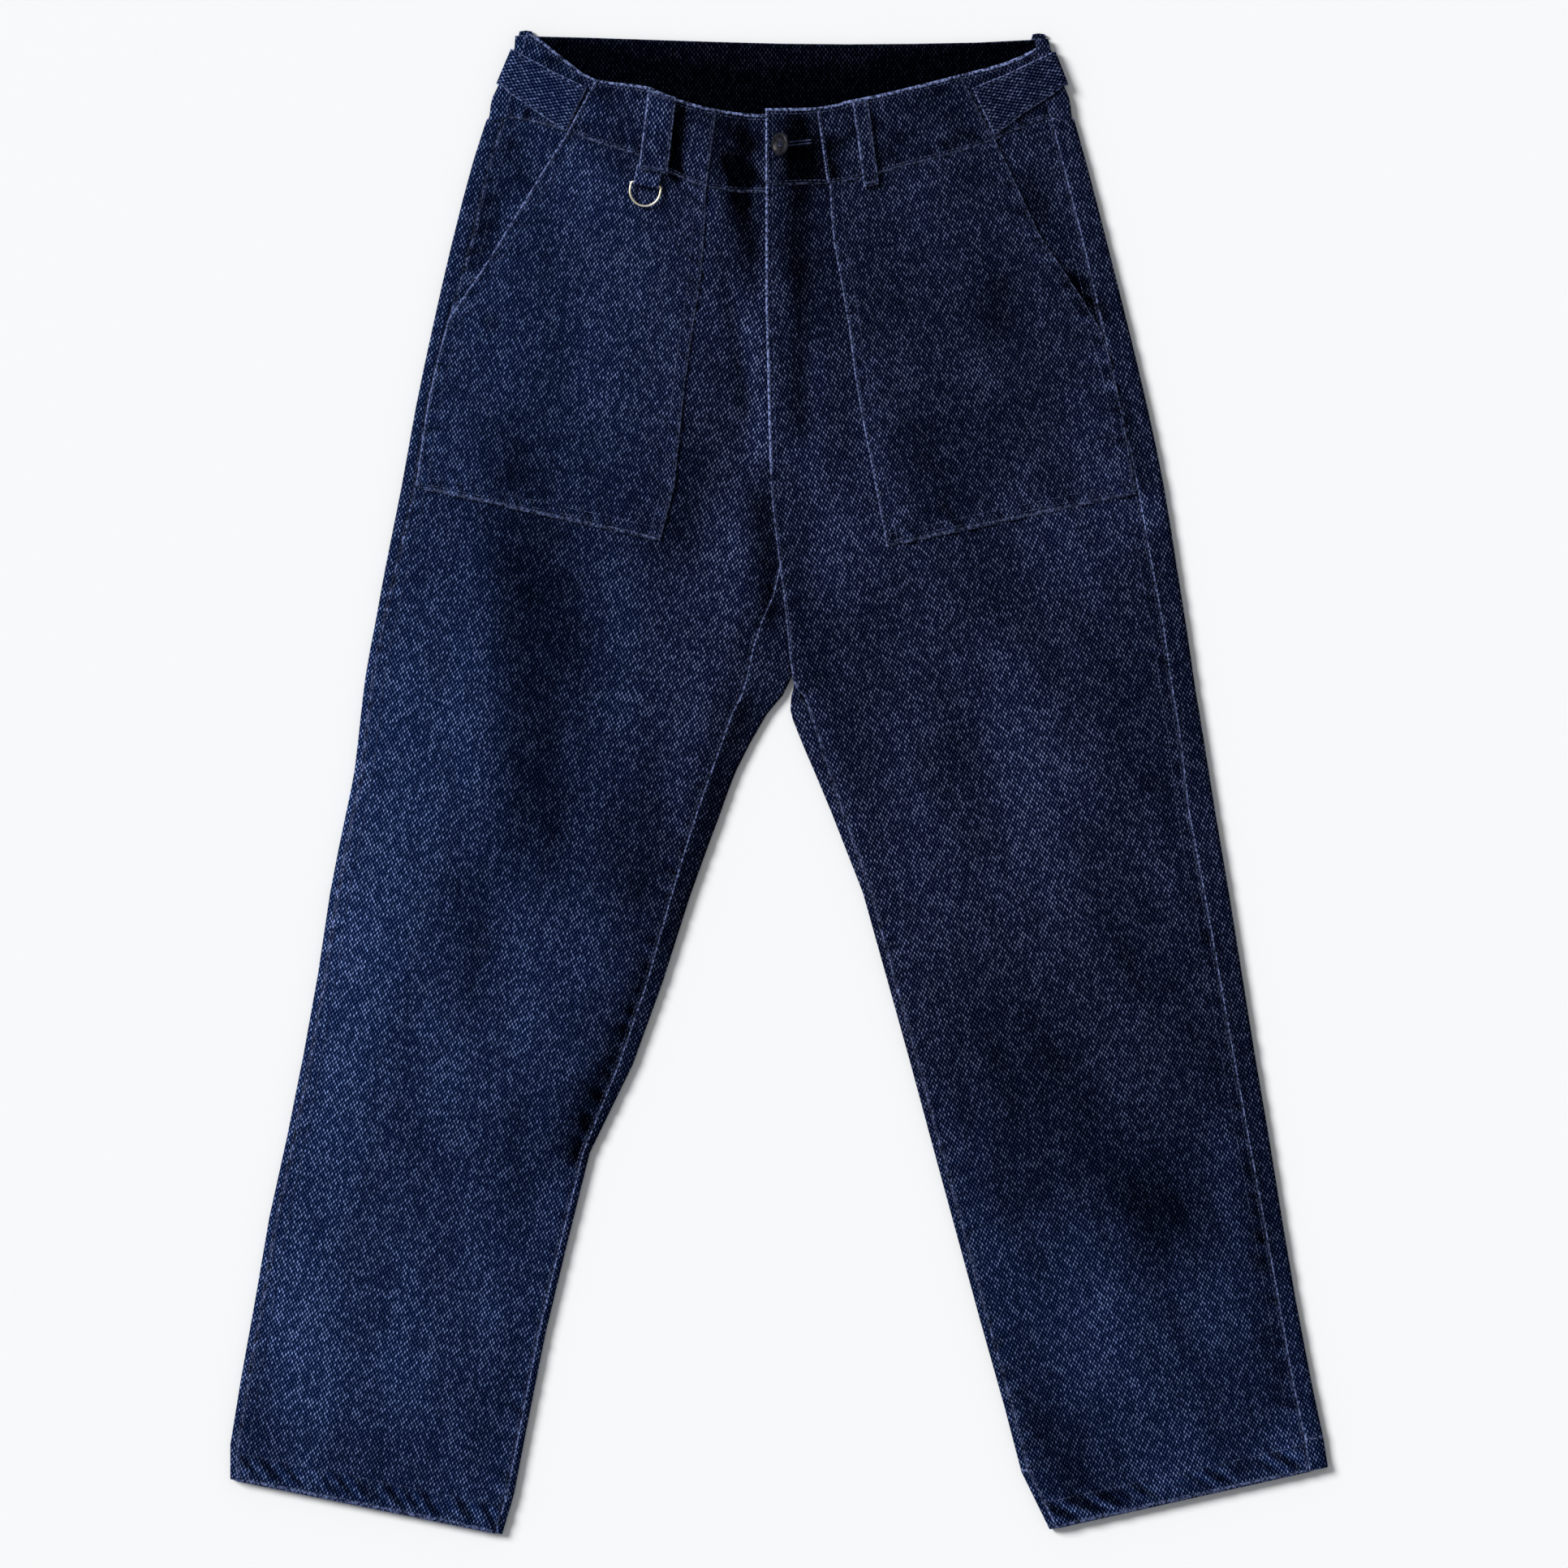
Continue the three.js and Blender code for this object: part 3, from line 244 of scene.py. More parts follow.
def cloth_material(name, brightness=1.0):
    """The indigo cloth on one kind of piece. brightness: how light the whole cloth is drawn; under 1 it
    paints shade over all of it, as on the inside.
    """
    material = bpy.data.materials.new(name)
    material.use_nodes = True
    tree = material.node_tree
    shader = tree.nodes["Principled BSDF"]
    place = add_node(tree, "ShaderNodeUVMap", uv_map="grain").outputs["UV"]
    rim, rub, tone, blue = (
        add_node(tree, "ShaderNodeAttribute", attribute_name=label).outputs["Fac"]
        for label in ("rim", "rub", "tone", "blue")
    )
    weave = add_node(tree, "ShaderNodeGroup", node_tree=weave_group)
    wear = add_node(tree, "ShaderNodeGroup", node_tree=wear_group)
    tree.links.new(place, weave.inputs["Place"])
    for label, value in (("Place", place), ("Rim", rim), ("Rub", rub)):
        tree.links.new(value, wear.inputs[label])
    strength = calc(tree, "POWER", weave.outputs["Chance"], chance_bend)
    strength = calc(tree, "MULTIPLY_ADD", strength, chance_gain, least_pale)
    strength = calc(tree, "MULTIPLY_ADD", wear.outputs["Pale"], 0.10, strength)
    strength = calc(tree, "MULTIPLY_ADD", wear.outputs["Line"], 0.3, strength, clamp=True)
    dim = mix_colour(tree, blue, grain_dim_violet, grain_dim_blue)
    pale = mix_colour(tree, blue, grain_pale_violet, grain_pale_blue)
    yarn = mix_colour(tree, strength, dim, pale)
    base = mix_colour(tree, blue, ground_violet, ground_blue)
    weft = mix_colour(tree, blue, weft_violet, weft_blue)
    base = mix_colour(tree, ramp(tree, noise(tree, place, 1.1, 3.0), 0.42, 0.68), base, weft)
    colour = mix_colour(tree, weave.outputs["Grain"], base, yarn)
    # Painted light and shade: the tone attribute lightens and darkens the whole colour, and a brightness
    # under 1 paints shade over all of it.
    light = calc(tree, "MULTIPLY_ADD", tone, tone_share, brightness * unwashed)
    light = calc(tree, "MULTIPLY", light, calc(tree, "MULTIPLY_ADD", wear.outputs["Pale"], 0.20, 0.90))
    light = calc(tree, "MAXIMUM", light, 0.03)
    colour = mix_colour(tree, light, (0, 0, 0, 1), colour)
    colour = mix_colour(tree, calc(tree, "MULTIPLY", wear.outputs["Line"], 0.7), colour, worn_edge)
    tree.links.new(colour, shader.inputs["Base Color"])
    height = {"Height": weave.outputs["Height"], "Distance": 0.00035, "Strength": 0.6}
    tree.links.new(add_node(tree, "ShaderNodeBump", height).outputs["Normal"], shader.inputs["Normal"])
    shader.inputs["Roughness"].default_value = 0.9
    shader.inputs["Specular IOR Level"].default_value = 0.0
    return material


denim = cloth_material("indigo_rice_weave")


def ease(t):
    t = np.clip(t, 0, 1)
    return t * t * (3 - 2 * t)


def ripple(run, wave, seed, count=7):
    """Uneven ripples along a line, about -1 to 1, with about that wavelength."""
    rng = np.random.default_rng(seed)
    total = np.zeros_like(run)
    for _ in range(count):
        total += np.sin(run * (2 * math.pi / (wave * rng.uniform(0.6, 1.7))) + rng.uniform(0, 2 * math.pi))
    return total / math.sqrt(count / 2) / 1.6


def merged_copy(name):
    """A CAD node's shell with its points joined, as a bmesh in millimetres."""
    shell = bmesh.new()
    shell.from_mesh(nodes[name].data)
    bmesh.ops.scale(shell, vec=(1 / mm,) * 3, verts=shell.verts)
    bmesh.ops.remove_doubles(shell, verts=shell.verts, dist=0.005)
    shell.normal_update()
    return shell


def set_attribute(mesh, name, values):
    attribute = mesh.attributes.new(name, "FLOAT", "POINT")
    attribute.data.foreach_set("value", np.asarray(values, np.float32).ravel())


fold_angle = math.radians(55)
join_angle = math.radians(60)
furthest_rim = 12.0


def crosses_flat(edge):
    """Whether an edge runs across the flat underside, where the cloth needs no more points."""
    a, b = (v.co for v in edge.verts)
    return max(a.z, b.z) < 1.5 and abs(a.x - b.x) > abs(a.y - b.y)


def rim_distance(shell):
    """Distance of each point from the nearest cut edge, up to furthest_rim."""
    sharp = [e for e in shell.edges if e.calc_face_angle(0) > fold_angle]
    places = []
    for edge in sharp:
        a, b = (v.co for v in edge.verts)
        count = max(1, int((b - a).length / 0.8))
        places += [a.lerp(b, k / count) for k in range(count + 1)]
    tree = KDTree(max(1, len(places)))
    for number, place in enumerate(places):
        tree.insert(place, number)
    tree.balance()
    if not places:
        return np.full(len(shell.verts), furthest_rim)
    return np.array([min(furthest_rim, tree.find(v.co)[2]) for v in shell.verts])


def wrapped_piece(name, longest, material, shape=None, rub=0.5):
    """A piece that goes round an edge: the CAD shell, cut finer and then shaped point by point."""
    shell = merged_copy(name)
    bmesh.ops.join_triangles(
        shell, faces=shell.faces, angle_face_threshold=join_angle, angle_shape_threshold=join_angle
    )
    for _ in range(6):
        long_edges = [e for e in shell.edges if e.calc_length() > longest and not crosses_flat(e)]
        if not long_edges:
            break
        bmesh.ops.subdivide_edges(shell, edges=long_edges, cuts=1, use_grid_fill=True)
    shell.normal_update()
    rim = rim_distance(shell)
    co = np.array([v.co for v in shell.verts])
    if shape:
        co = shape(co)
    for vertex, place in zip(shell.verts, co):
        vertex.co = Vector(place) * mm
    mesh = bpy.data.meshes.new("cloth_" + name)
    shell.to_mesh(mesh)
    shell.free()
    mesh.materials.append(material)
    set_attribute(mesh, "rim", rim)
    set_attribute(mesh, "rub", rub + 0 * rim)
    return add_object(mesh.name, mesh)


def pressed_edge(name, pick):
    """The x of a back's outermost line, by y."""
    shell = merged_copy(name)
    ends = np.array([[v.co.to_tuple() for v in e.verts] for e in shell.edges])
    shell.free()
    a, b = ends[:, 0], ends[:, 1]
    levels = np.arange(-500.0, 450.0, 4.0)
    found = []
    for level in levels:
        crossing = (a[:, 1] - level) * (b[:, 1] - level) <= 0
        from_x, to_x = a[crossing, 0], b[crossing, 0]
        rise = b[crossing, 1] - a[crossing, 1]
        share = (level - a[crossing, 1]) / np.where(np.abs(rise) < 1e-6, 1e-6, rise)
        found.append(pick(from_x + (to_x - from_x) * np.clip(share, 0, 1)))
    return lambda y: np.interp(y, levels, found)


left_outer, left_inner = pressed_edge("back_left", np.min), pressed_edge("back_left", np.max)
right_outer, right_inner = pressed_edge("back_right", np.max), pressed_edge("back_right", np.min)


def back_shape(outer, inner, seed):
    """Puckers along the pressed edges, for the part of a back that has come round on top."""
    def shape(co):
        x, y, z = co.T
        on_top = ease((z - 3.6) / 2.0)
        outer_pucker = ripple(y, 13, seed) * np.exp(-np.abs(x - outer(y)) / 30)
        inner_pucker = ripple(y, 11, seed + 1) * np.exp(-np.abs(x - inner(y)) / 30)
        return co + np.stack([0 * x, 0 * x, 0.34 * on_top * (outer_pucker + inner_pucker)], axis=1)
    return shape


# Marks that darken (below 0) or pale (above 0) the cloth: painted shade in fold troughs and beside raised
# pieces, painted light on ridges and the lit left side, and some wash streaks:
# start x, y, end x, y, half width, amount
shade_light_and_wash_marks = [
    (-165, 262, -163, -70, 30, -0.4), (-160, 60, -161, -40, 14, -0.12), (-27, 462, -16, 350, 7, -0.8),
    (-44, 455, -26, 385, 6, -0.5), (-41, 362, -22, 250, 3.2, -0.7), (-28, 345, -16, 270, 3, 0.5),
    (13, 455, 15, 235, 7, -0.85), (29, 300, 25, 200, 6, 0.6), (-33, 430, -13, 310, 6, -0.6),
    (30, 440, 24, 395, 14, -0.6), (-12, 196, -5, 105, 6, -1.1), (-180, 442, -178, 400, 9, -0.7),
    (-190, 400, -206, 350, 7, -0.7), (-198, 318, -190, 305, 6, -0.8), (165, 415, 182, 375, 6, -0.8),
    (195, 345, 224, 312, 6, -1.1), (232, 260, 250, 200, 4, -0.8), (250, 160, 280, 0, 10, -0.5),
    (255, 10, 290, -120, 8, -0.5), (190, -190, 205, -290, 30, -0.2), (232, -60, 235, -150, 28, -0.3),
    (200, -120, 310, -480, 100, -0.42), (-142, 190, -150, -60, 44, -0.22),
    (298, -100, 342, -420, 7, -0.3), (-128, -195, -152, -262, 10, -0.4),
    (-118, -140, -135, -178, 8, -0.45), (-190, 250, -180, 200, 13, -0.35), (130, 330, 145, 290, 16, -0.4),
    (105, 188, 145, 190, 11, -0.45), (98, 250, 110, 200, 20, -0.3), (120, 405, 142, 411, 7, -0.5),
    (66, 414, 70, 400, 5, -0.8), (-126, 428, -98, 414, 6, -0.4), (-66, 462, -69, 405, 3.2, -1.7),
    (138, 385, 130, 195, 42, -0.3), (100, 30, 140, 20, 22, -0.25), (-20, 60, -80, -120, 9, -0.9),
    (-85, -120, -140, -262, 7, -1), (60, 150, 90, 110, 18, -0.2), (-62, 190, -70, 160, 10, -0.2),
    (320, -250, 330, -330, 10, -0.4), (-262, 100, -335, -420, 26, 0.6), (-232, 60, -290, -200, 22, 0.5),
    (-120, 400, -92, 330, 28, 0.4), (-100, 330, -76, 240, 20, 0.4), (-56, 445, -42, 385, 9, 0.4),
    (-15, 330, -11, 215, 5.5, 1.1), (-10, 262, -12, 225, 7, 0.6), (-27, 185, -34, 110, 13, 0.45),
    (-46, 90, -70, -40, 9, 0.3), (-232, 190, -222, 120, 18, 0.35), (-84, 466, -82, 440, 9, 0.55),
    (62, 252, 68, 200, 5, 0.45), (225, 222, 233, 180, 13, 0.45), (250, 195, 252, 170, 6, 0.8),
    (150, 112, 160, -80, 17, 0.38), (205, 100, 215, -20, 13, 0.38), (36, 190, 46, 120, 15, 0.25),
    (26, 60, 62, -70, 9, 0.3), (110, -10, 126, -30, 17, 0.25), (135, -180, 140, -260, 6, 0.35),
    (285, -320, 295, -380, 13, 0.35), (265, -350, 270, -300, 12, 0.28), (-292, -280, -270, -440, 48, 0.3),
    (340, -430, 352, -462, 9, 0.4), (-150, -90, -160, -200, 16, 0.2), (215, -140, 235, -260, 12, 0.22),
]


def marks(table, x, y):
    """Sum of long soft marks over the plan, each (x0, y0, x1, y1, half width, amount)."""
    total = np.zeros_like(x)
    for x0, y0, x1, y1, width, amount in table:
        dx, dy = x1 - x0, y1 - y0
        length = math.hypot(dx, dy)
        along = ((x - x0) * dx + (y - y0) * dy) / length
        across = ((x - x0) * dy - (y - y0) * dx) / length
        taper = min(length / 2, width * 3)
        ends = ease((along + taper / 2) / taper) * ease((length + taper / 2 - along) / taper)
        total += amount * ends * np.exp(-0.5 * (across / width) ** 2)
    return total


def blueness(x, y):
    """Bluer towards the left, where it is painted bluish light from the left side, and bluer again low on the
    right; more violet on the rest of the right.
    """
    lower_right = 0.75 * ease((-150 - y) / 200) * ease(x / 60)
    return np.clip(0.08 + ease((-20 - x) / 190) + lower_right, 0, 1)


def finish_cloth(piece, replaced, slot, grain, coarse=1.0, relief=0.0, rows=(), dark=0.0):
    """Grain coordinates, painted light and shade, stitches and calls that every cloth piece has. grain:
    degrees from +Y.

    relief: fine height, also painted as light on its ridges and shade in its hollows; rows: lines of
    stitches; dark: even painted shade over it."""
    mesh = piece.data
    corners = np.empty(len(mesh.loops), int)
    mesh.loops.foreach_get("vertex_index", corners)
    co = np.empty(len(mesh.vertices) * 3)
    mesh.vertices.foreach_get("co", co)
    x, y, z = (co.reshape(-1, 3) / mm).T
    turn = math.radians(grain)
    u = x * math.cos(turn) + y * math.sin(turn)
    v = y * math.cos(turn) - x * math.sin(turn)
    flat = np.stack([u, v], axis=1)
    layer = mesh.uv_layers.new(name="grain")
    layer.data.foreach_set("uv", (flat[corners] / coarse).ravel())
    # The tone attribute is painted light and shade, with some wash streaks: the marks, the relief's ridges
    # and hollows, less the even painted shade.
    set_attribute(mesh, "tone", marks(shade_light_and_wash_marks, x, y) + relief - dark)
    set_attribute(mesh, "blue", blueness(x, y))
    mesh.polygons.foreach_set("use_smooth", [True] * len(mesh.polygons))
    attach(piece, "trousers")
    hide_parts(*replaced)
    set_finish(piece, slot)
    cut = nodes[replaced[0]].data
    cut_x, cut_y, _ = np.array([vertex.co for vertex in cut.vertices]).T
    cut_across = cut_x * math.cos(turn) + cut_y * math.sin(turn)
    cut_along = cut_y * math.cos(turn) - cut_x * math.sin(turn)
    size = np.array([np.ptp(cut_across), np.ptp(cut_along)])
    area = sum(face.area for face in cut.polygons) / 2
    size[0] = max(size[0], area / size[1])
    threads = [sew(piece, rows)] if rows else []


for side, outer, inner, grain, seed in (
    ("left", left_outer, left_inner, -12.7, 11),
    ("right", right_outer, right_inner, 12.8, 21),
):
    piece = wrapped_piece("back_" + side, 4.0, denim, back_shape(outer, inner, seed), 0.95)
    finish_cloth(piece, ["back_" + side], "denim", grain)

# Fronts of the legs
# Each is one panel from the waist seam to the hem. The hem is turned up twice and stitched 20 mm
# from its edge, which ropes. The right front's edge is the fly and lies over the left front.
cloth_wall = 1.4
hem_depth = 20.0
hem_raise = 0.7
fly_share = 0.228
seam_inset = 1.7
second_inset = 7.6
fly_inset = 1.4
fly_second_inset = 4.4
fly_tack = [(-6.8, 231.5), (0.5, 230.0)]
tack_width = 2.0
crotch_share = 0.32
front_step = 2.6
edge_height = 6.5
waist_lift = 8.5
overlap_rise = 2.6
fly_edge_x = -7.7
crotch_edge_y = 62

# Folds: start x, y, end x, y, half width, rise (up is a ridge)
left_folds = [
    (-168, 265, -163, -77, 17, -1.9), (-196, 250, -190, -60, 15, 1.5), (-140, 262, -134, -80, 15, 1.5),
    (-34, 470, -16, 330, 9, -3.4), (-48, 450, -33, 340, 8, 1.8), (-14, 310, -12, 200, 7, 2.2),
    (-23, 195, -31, 78, 10, 3.2), (-48, 60, -84, -60, 13, 1.6), (-101, -145, -101, -178, 14, -1.6),
    (-106, -150, -137, -209, 9, 2.2), (-186, 420, -201, 345, 10, -1.7), (-208, 318, -205, 305, 9, -1.6),
    (-250, 60, -300, -170, 20, 1.6), (-225, -210, -262, -400, 24, 1.7),
]
right_folds = [
    (10, 462, 11, 230, 8, -2), (28, 330, 24, 200, 8, 2), (2, 190, 12, 75, 9, 1.8),
    (40, 210, 60, 60, 12, 1.4), (175, 395, 212, 330, 10, -1.7), (50, 50, 105, 52, 8, -1.2),
    (130, 150, 205, -170, 26, 1.9), (196, -190, 208, -208, 18, -1.6), (156, -352, 232, -348, 12, -1.3),
    (240, -215, 290, -400, 24, 1.6), (208, -440, 209, -485, 7, -1.5),
]


def mix(a, b, t):
    return a + (b - a) * t


def lift_height(x, y):
    return waist_lift * ease((y - 300) / 150) * np.maximum(0, 1 - (x / 190) ** 2)


def pressed_height(y, free, from_outer, from_inner, crotch_y):
    roll = np.interp(y, [-75, -20, 8, 50, 72], [6.5, 6.2, 5.8, 5.0, 4.8])
    height = mix(edge_height, free, ease(from_outer / 20))
    near_leg = ease((crotch_y + 45 - y) / 40)
    return mix(roll, height, mix(1, ease(from_inner / 22), near_leg))


def left_top(x, y):
    free = edge_height + lift_height(x, y) + marks(left_folds, x, y)
    return pressed_height(y, free, x - left_outer(y), left_inner(y) - x, 145.2)


def right_top(x, y):
    rise = overlap_rise * (1 - ease((x - fly_edge_x) / 34)) * ease((y - crotch_edge_y + 14) / 14)
    free = edge_height + lift_height(x, y) + marks(right_folds, x, y) + rise
    own = pressed_height(y, free, right_outer(y) - x, x - right_inner(y), 68.2)
    hangs = ease((y - crotch_edge_y + 6) / 10) * (1 - ease((x - 150) / 30))
    own = mix(own, free, hangs)
    overlaps = ease((y - 160) / 40) * (1 - ease((x - 8) / 34))
    return mix(own, left_top(x, y) + overlap_rise, overlaps)


def crumple(x, y, wave, seed, count=22, angle=0.0, stretch=1.0):
    """Uneven relief over the plan, about -1 to 1. stretch above 1 draws it out along angle."""
    rng = np.random.default_rng(seed)
    along = x * math.cos(angle) + y * math.sin(angle)
    across = y * math.cos(angle) - x * math.sin(angle)
    total = np.zeros_like(x)
    for _ in range(count):
        turn = rng.uniform(0, math.pi)
        number = 2 * math.pi / (wave * rng.uniform(0.65, 1.6))
        phase = rng.uniform(0, 2 * math.pi)
        total += np.sin(number * (along / stretch * math.cos(turn) + across * math.sin(turn)) + phase)
    return total / math.sqrt(count / 2) / 1.6


top_tilt = 0.3


def outline(name):
    """Plan outline of a laid panel, as its points in order."""
    plan = merged_copy(name)
    bmesh.ops.delete(plan, geom=[f for f in plan.faces if f.normal.z < top_tilt], context="FACES")
    bmesh.ops.scale(plan, vec=(1, 1, 0), verts=plan.verts)
    bmesh.ops.remove_doubles(plan, verts=plan.verts, dist=0.1)
    near = {}
    for edge in plan.edges:
        if len(edge.link_faces) == 1:
            for here, there in (edge.verts, reversed(edge.verts)):
                near.setdefault(here, []).append(there)
    start = here = min(near, key=lambda v: v.co.x)
    back = Vector((-1, 0))
    loop = []
    while not loop or here != start:
        loop.append(here.co.xy.to_tuple())
        facing = math.atan2(*back.yx)
        turns = {v: (math.atan2(*(v.co - here.co).yx) - facing) % (2 * math.pi) for v in near[here]}
        ahead = min(turns, key=lambda v: turns[v] or 2 * math.pi)
        back = (here.co - ahead.co).xy
        here = ahead
    plan.free()
    return np.array(loop)


def spread(points, shares):
    """Points along a line of points, at these shares of its length."""
    steps = np.hypot(*np.diff(points, axis=0).T)
    run = np.concatenate([[0], np.cumsum(steps)])
    at = np.asarray(shares) * run[-1]
    return np.stack([np.interp(at, run, points[:, 0]), np.interp(at, run, points[:, 1])], axis=1), run[-1]


jog_length = 14.0
jog_depth = 6.0
least_row = 0.03


def without_jogs(line, step):
    """A side with its small jogs smoothed away and its ends kept."""
    count = min(max(1, int(jog_length / step)), len(line) // 3)
    before = 2 * line[0] - line[count:0:-1]
    after = 2 * line[-1] - line[-2:-count - 2:-1]
    padded = np.concatenate([before, line, after])
    kernel = np.ones(2 * count + 1) / (2 * count + 1)
    return np.stack([np.convolve(padded[:, k], kernel, "valid") for k in (0, 1)], axis=1)


rim_insets = (0.35, 1.1)
rim_drops = (0.75, 0.2)


class Panel:
    """A laid piece as rows and columns over its plan, from its four corners and four sides.

    x, y: plan; left, right, top, bottom: distance from each side; down, over: run along them."""

    def __init__(self, name, step):
        loop = outline(name)
        x, y = loop.T
        corner = [int(np.argmax(reach)) for reach in (y - x, y + x, x - y, -x - y)]
        if (corner[1] - corner[0]) % len(loop) > (corner[3] - corner[0]) % len(loop):
            loop = loop[::-1]
            corner = [len(loop) - 1 - i for i in corner]

        def side(a, b):
            count = (b - a) % len(loop)
            return loop[(a + np.arange(count + 1)) % len(loop)]

        top = side(corner[0], corner[1])
        right = side(corner[1], corner[2])
        bottom = side(corner[2], corner[3])[::-1]
        left = side(corner[3], corner[0])[::-1]
        width = max(np.hypot(*(a[-1] - a[0])) for a in (top, bottom))
        height = max(np.hypot(*np.diff(a, axis=0).T).sum() for a in (left, right))
        s = self.shares(width, step)
        t = self.shares(height, step)
        top, _ = spread(top, s)
        bottom, _ = spread(bottom, s)
        left, left_run = spread(left, t)
        right, right_run = spread(right, t)
        s_, t_ = s[None, :, None], t[:, None, None]
        across = (1 - t_) * top[None] + t_ * bottom[None]
        jogs = [(line - without_jogs(line, step))[:, None] for line in (left, right)]
        near_left, near_right = (np.exp(-share * width / jog_depth) for share in (s_, 1 - s_))
        down = (1 - s_) * (left[:, None] - jogs[0] * (1 - near_left))
        down = down + s_ * (right[:, None] - jogs[1] * (1 - near_right))
        bilinear = (1 - t_) * ((1 - s_) * top[0] + s_ * top[-1])
        bilinear = bilinear + t_ * ((1 - s_) * bottom[0] + s_ * bottom[-1])
        self.x, self.y = np.moveaxis(across + down - bilinear, 2, 0)
        fall = least_row * np.arange(len(t))[:, None]
        self.y = np.minimum.accumulate(self.y + fall, axis=0) - fall
        self.s, self.t = s, t
        for edge, inner in ((np.s_[:, 0], np.s_[:, 2]), (np.s_[:, -1], np.s_[:, -3]),
                            (np.s_[0, :], np.s_[2, :]), (np.s_[-1, :], np.s_[-3, :])):
            out_x, out_y = self.x[edge] - self.x[inner], self.y[edge] - self.y[inner]
            reach = seam_overlap / np.hypot(out_x, out_y)
            self.x[edge] += out_x * reach
            self.y[edge] += out_y * reach
        widths = np.hypot(*np.moveaxis(right - left, 1, 0))[:, None]
        heights = np.hypot(*np.moveaxis(bottom - top, 1, 0))[None, :]
        self.left = s[None, :] * widths
        self.right = (1 - s[None, :]) * widths
        self.top = t[:, None] * heights
        self.bottom = (1 - t[:, None]) * heights
        self.down = t[:, None] * mix(left_run, right_run, s[None, :])
        self.over = s[None, :] * width + 0 * t[:, None]
        self.nearest = np.minimum(np.minimum(self.left, self.right), np.minimum(self.top, self.bottom))
        self.width, self.height = width, height

    @staticmethod
    def shares(length, step):
        first, last = rim_insets
        count = max(3, int(round((length - 2 * last) / step)))
        inner = np.linspace(last, length - last, count + 1)
        return np.concatenate([[0, first], inner, [length - first, length]]) / length

    def line(self, side, inset, start=0.0, end=1.0):
        """A line that far in from one side, in plan, between two shares of the side's length."""
        run = np.linspace(start, end, 160)
        across = side in ("left", "right")
        if across:
            far = np.interp(run, self.t, (self.left + self.right)[:, 0])
        else:
            far = np.interp(run, self.s, (self.top + self.bottom)[0])
        depth = inset / far if side in ("left", "top") else 1 - inset / far
        s, t = (depth, run) if across else (run, depth)
        column = np.interp(s, self.s, np.arange(len(self.s)))
        row = np.interp(t, self.t, np.arange(len(self.t)))
        i = np.minimum(row.astype(int), len(self.t) - 2)
        j = np.minimum(column.astype(int), len(self.s) - 2)
        u, v = row - i, column - j
        places = []
        for grid in (self.x, self.y):
            before = (1 - v) * grid[i, j] + v * grid[i, j + 1]
            after = (1 - v) * grid[i + 1, j] + v * grid[i + 1, j + 1]
            places.append((1 - u) * before + u * after)
        return np.stack(places, axis=1)

    def rows(self, *places):
        """Rows of stitches, each from what line takes."""
        return [(self.line(*place), 0) for place in places]

    def worn(self, **sides):
        """Distance to the nearest worn side, and how worn that is, from a strength for each side."""
        stack = [(getattr(self, side), strength + 0 * self.x) for side, strength in sides.items()]
        distances = np.stack([d for d, _ in stack])
        strengths = np.stack([w for _, w in stack])
        nearest = distances.argmin(axis=0)[None]
        pick = [np.take_along_axis(a, nearest, axis=0)[0] for a in (distances, strengths)]
        return pick


def lay_panel(name, panel, z, wall, material, worn=None):
    """A closed cloth wall over a panel's plan, with its edge turned down a little all round."""
    rows, columns = panel.x.shape
    upper = z.copy()
    lower = z - wall
    for inset, drop in enumerate(rim_drops):
        band = np.zeros((rows, columns), bool)
        band[[inset, -1 - inset], :] = True
        band[:, [inset, -1 - inset]] = True
        if inset:
            band[[0, -1], :] = False
            band[:, [0, -1]] = False
        upper[band] -= drop
        lower[band] += drop * (wall - 0.9) / wall
    sheets = [np.stack([panel.x, panel.y, h], axis=2).reshape(-1, 3) for h in (upper, lower)]
    index = np.arange(rows * columns).reshape(rows, columns)
    quads = np.stack([index[:-1, :-1], index[1:, :-1], index[1:, 1:], index[:-1, 1:]], axis=2).reshape(-1, 4)
    offset = rows * columns
    ring = np.concatenate([index[0, :-1], index[:-1, -1], index[-1, :0:-1], index[:0:-1, 0]])
    after = np.roll(ring, -1)
    sides = np.stack([ring, after, after + offset, ring + offset], axis=1)
    faces = np.concatenate([quads, quads[:, ::-1] + offset, sides])
    mesh = bpy.data.meshes.new("cloth_" + name)
    mesh.from_pydata((np.concatenate(sheets) * mm).tolist(), [], faces.tolist())
    mesh.materials.append(material)
    rim, rub = worn or (panel.nearest, 0 * panel.x)
    set_attribute(mesh, "rim", np.concatenate([rim.ravel()] * 2))
    set_attribute(mesh, "rub", np.concatenate([rub.ravel()] * 2))
    return add_object(mesh.name, mesh)


def both_faces(values):
    return np.concatenate([values.ravel()] * 2)


# A stitch: share of its length, height of its middle over the cloth, radius
stitch_shape = [(0, -0.3, 0.12), (0.14, 0.1, 0.24), (0.5, 0.17, 0.27), (0.86, 0.1, 0.24), (1, -0.3, 0.12)]
stitch_sides = 5
stitch_length = 2.5
stitch_pitch = 3.2
tack_pitch = 0.75


def new_material(name):
    """A material, its nodes, its shader and the place on the piece."""
    material = bpy.data.materials.new(name)
    material.use_nodes = True
    tree = material.node_tree
    place = add_node(tree, "ShaderNodeTexCoord").outputs["Object"]
    return material, tree, tree.nodes["Principled BSDF"], place


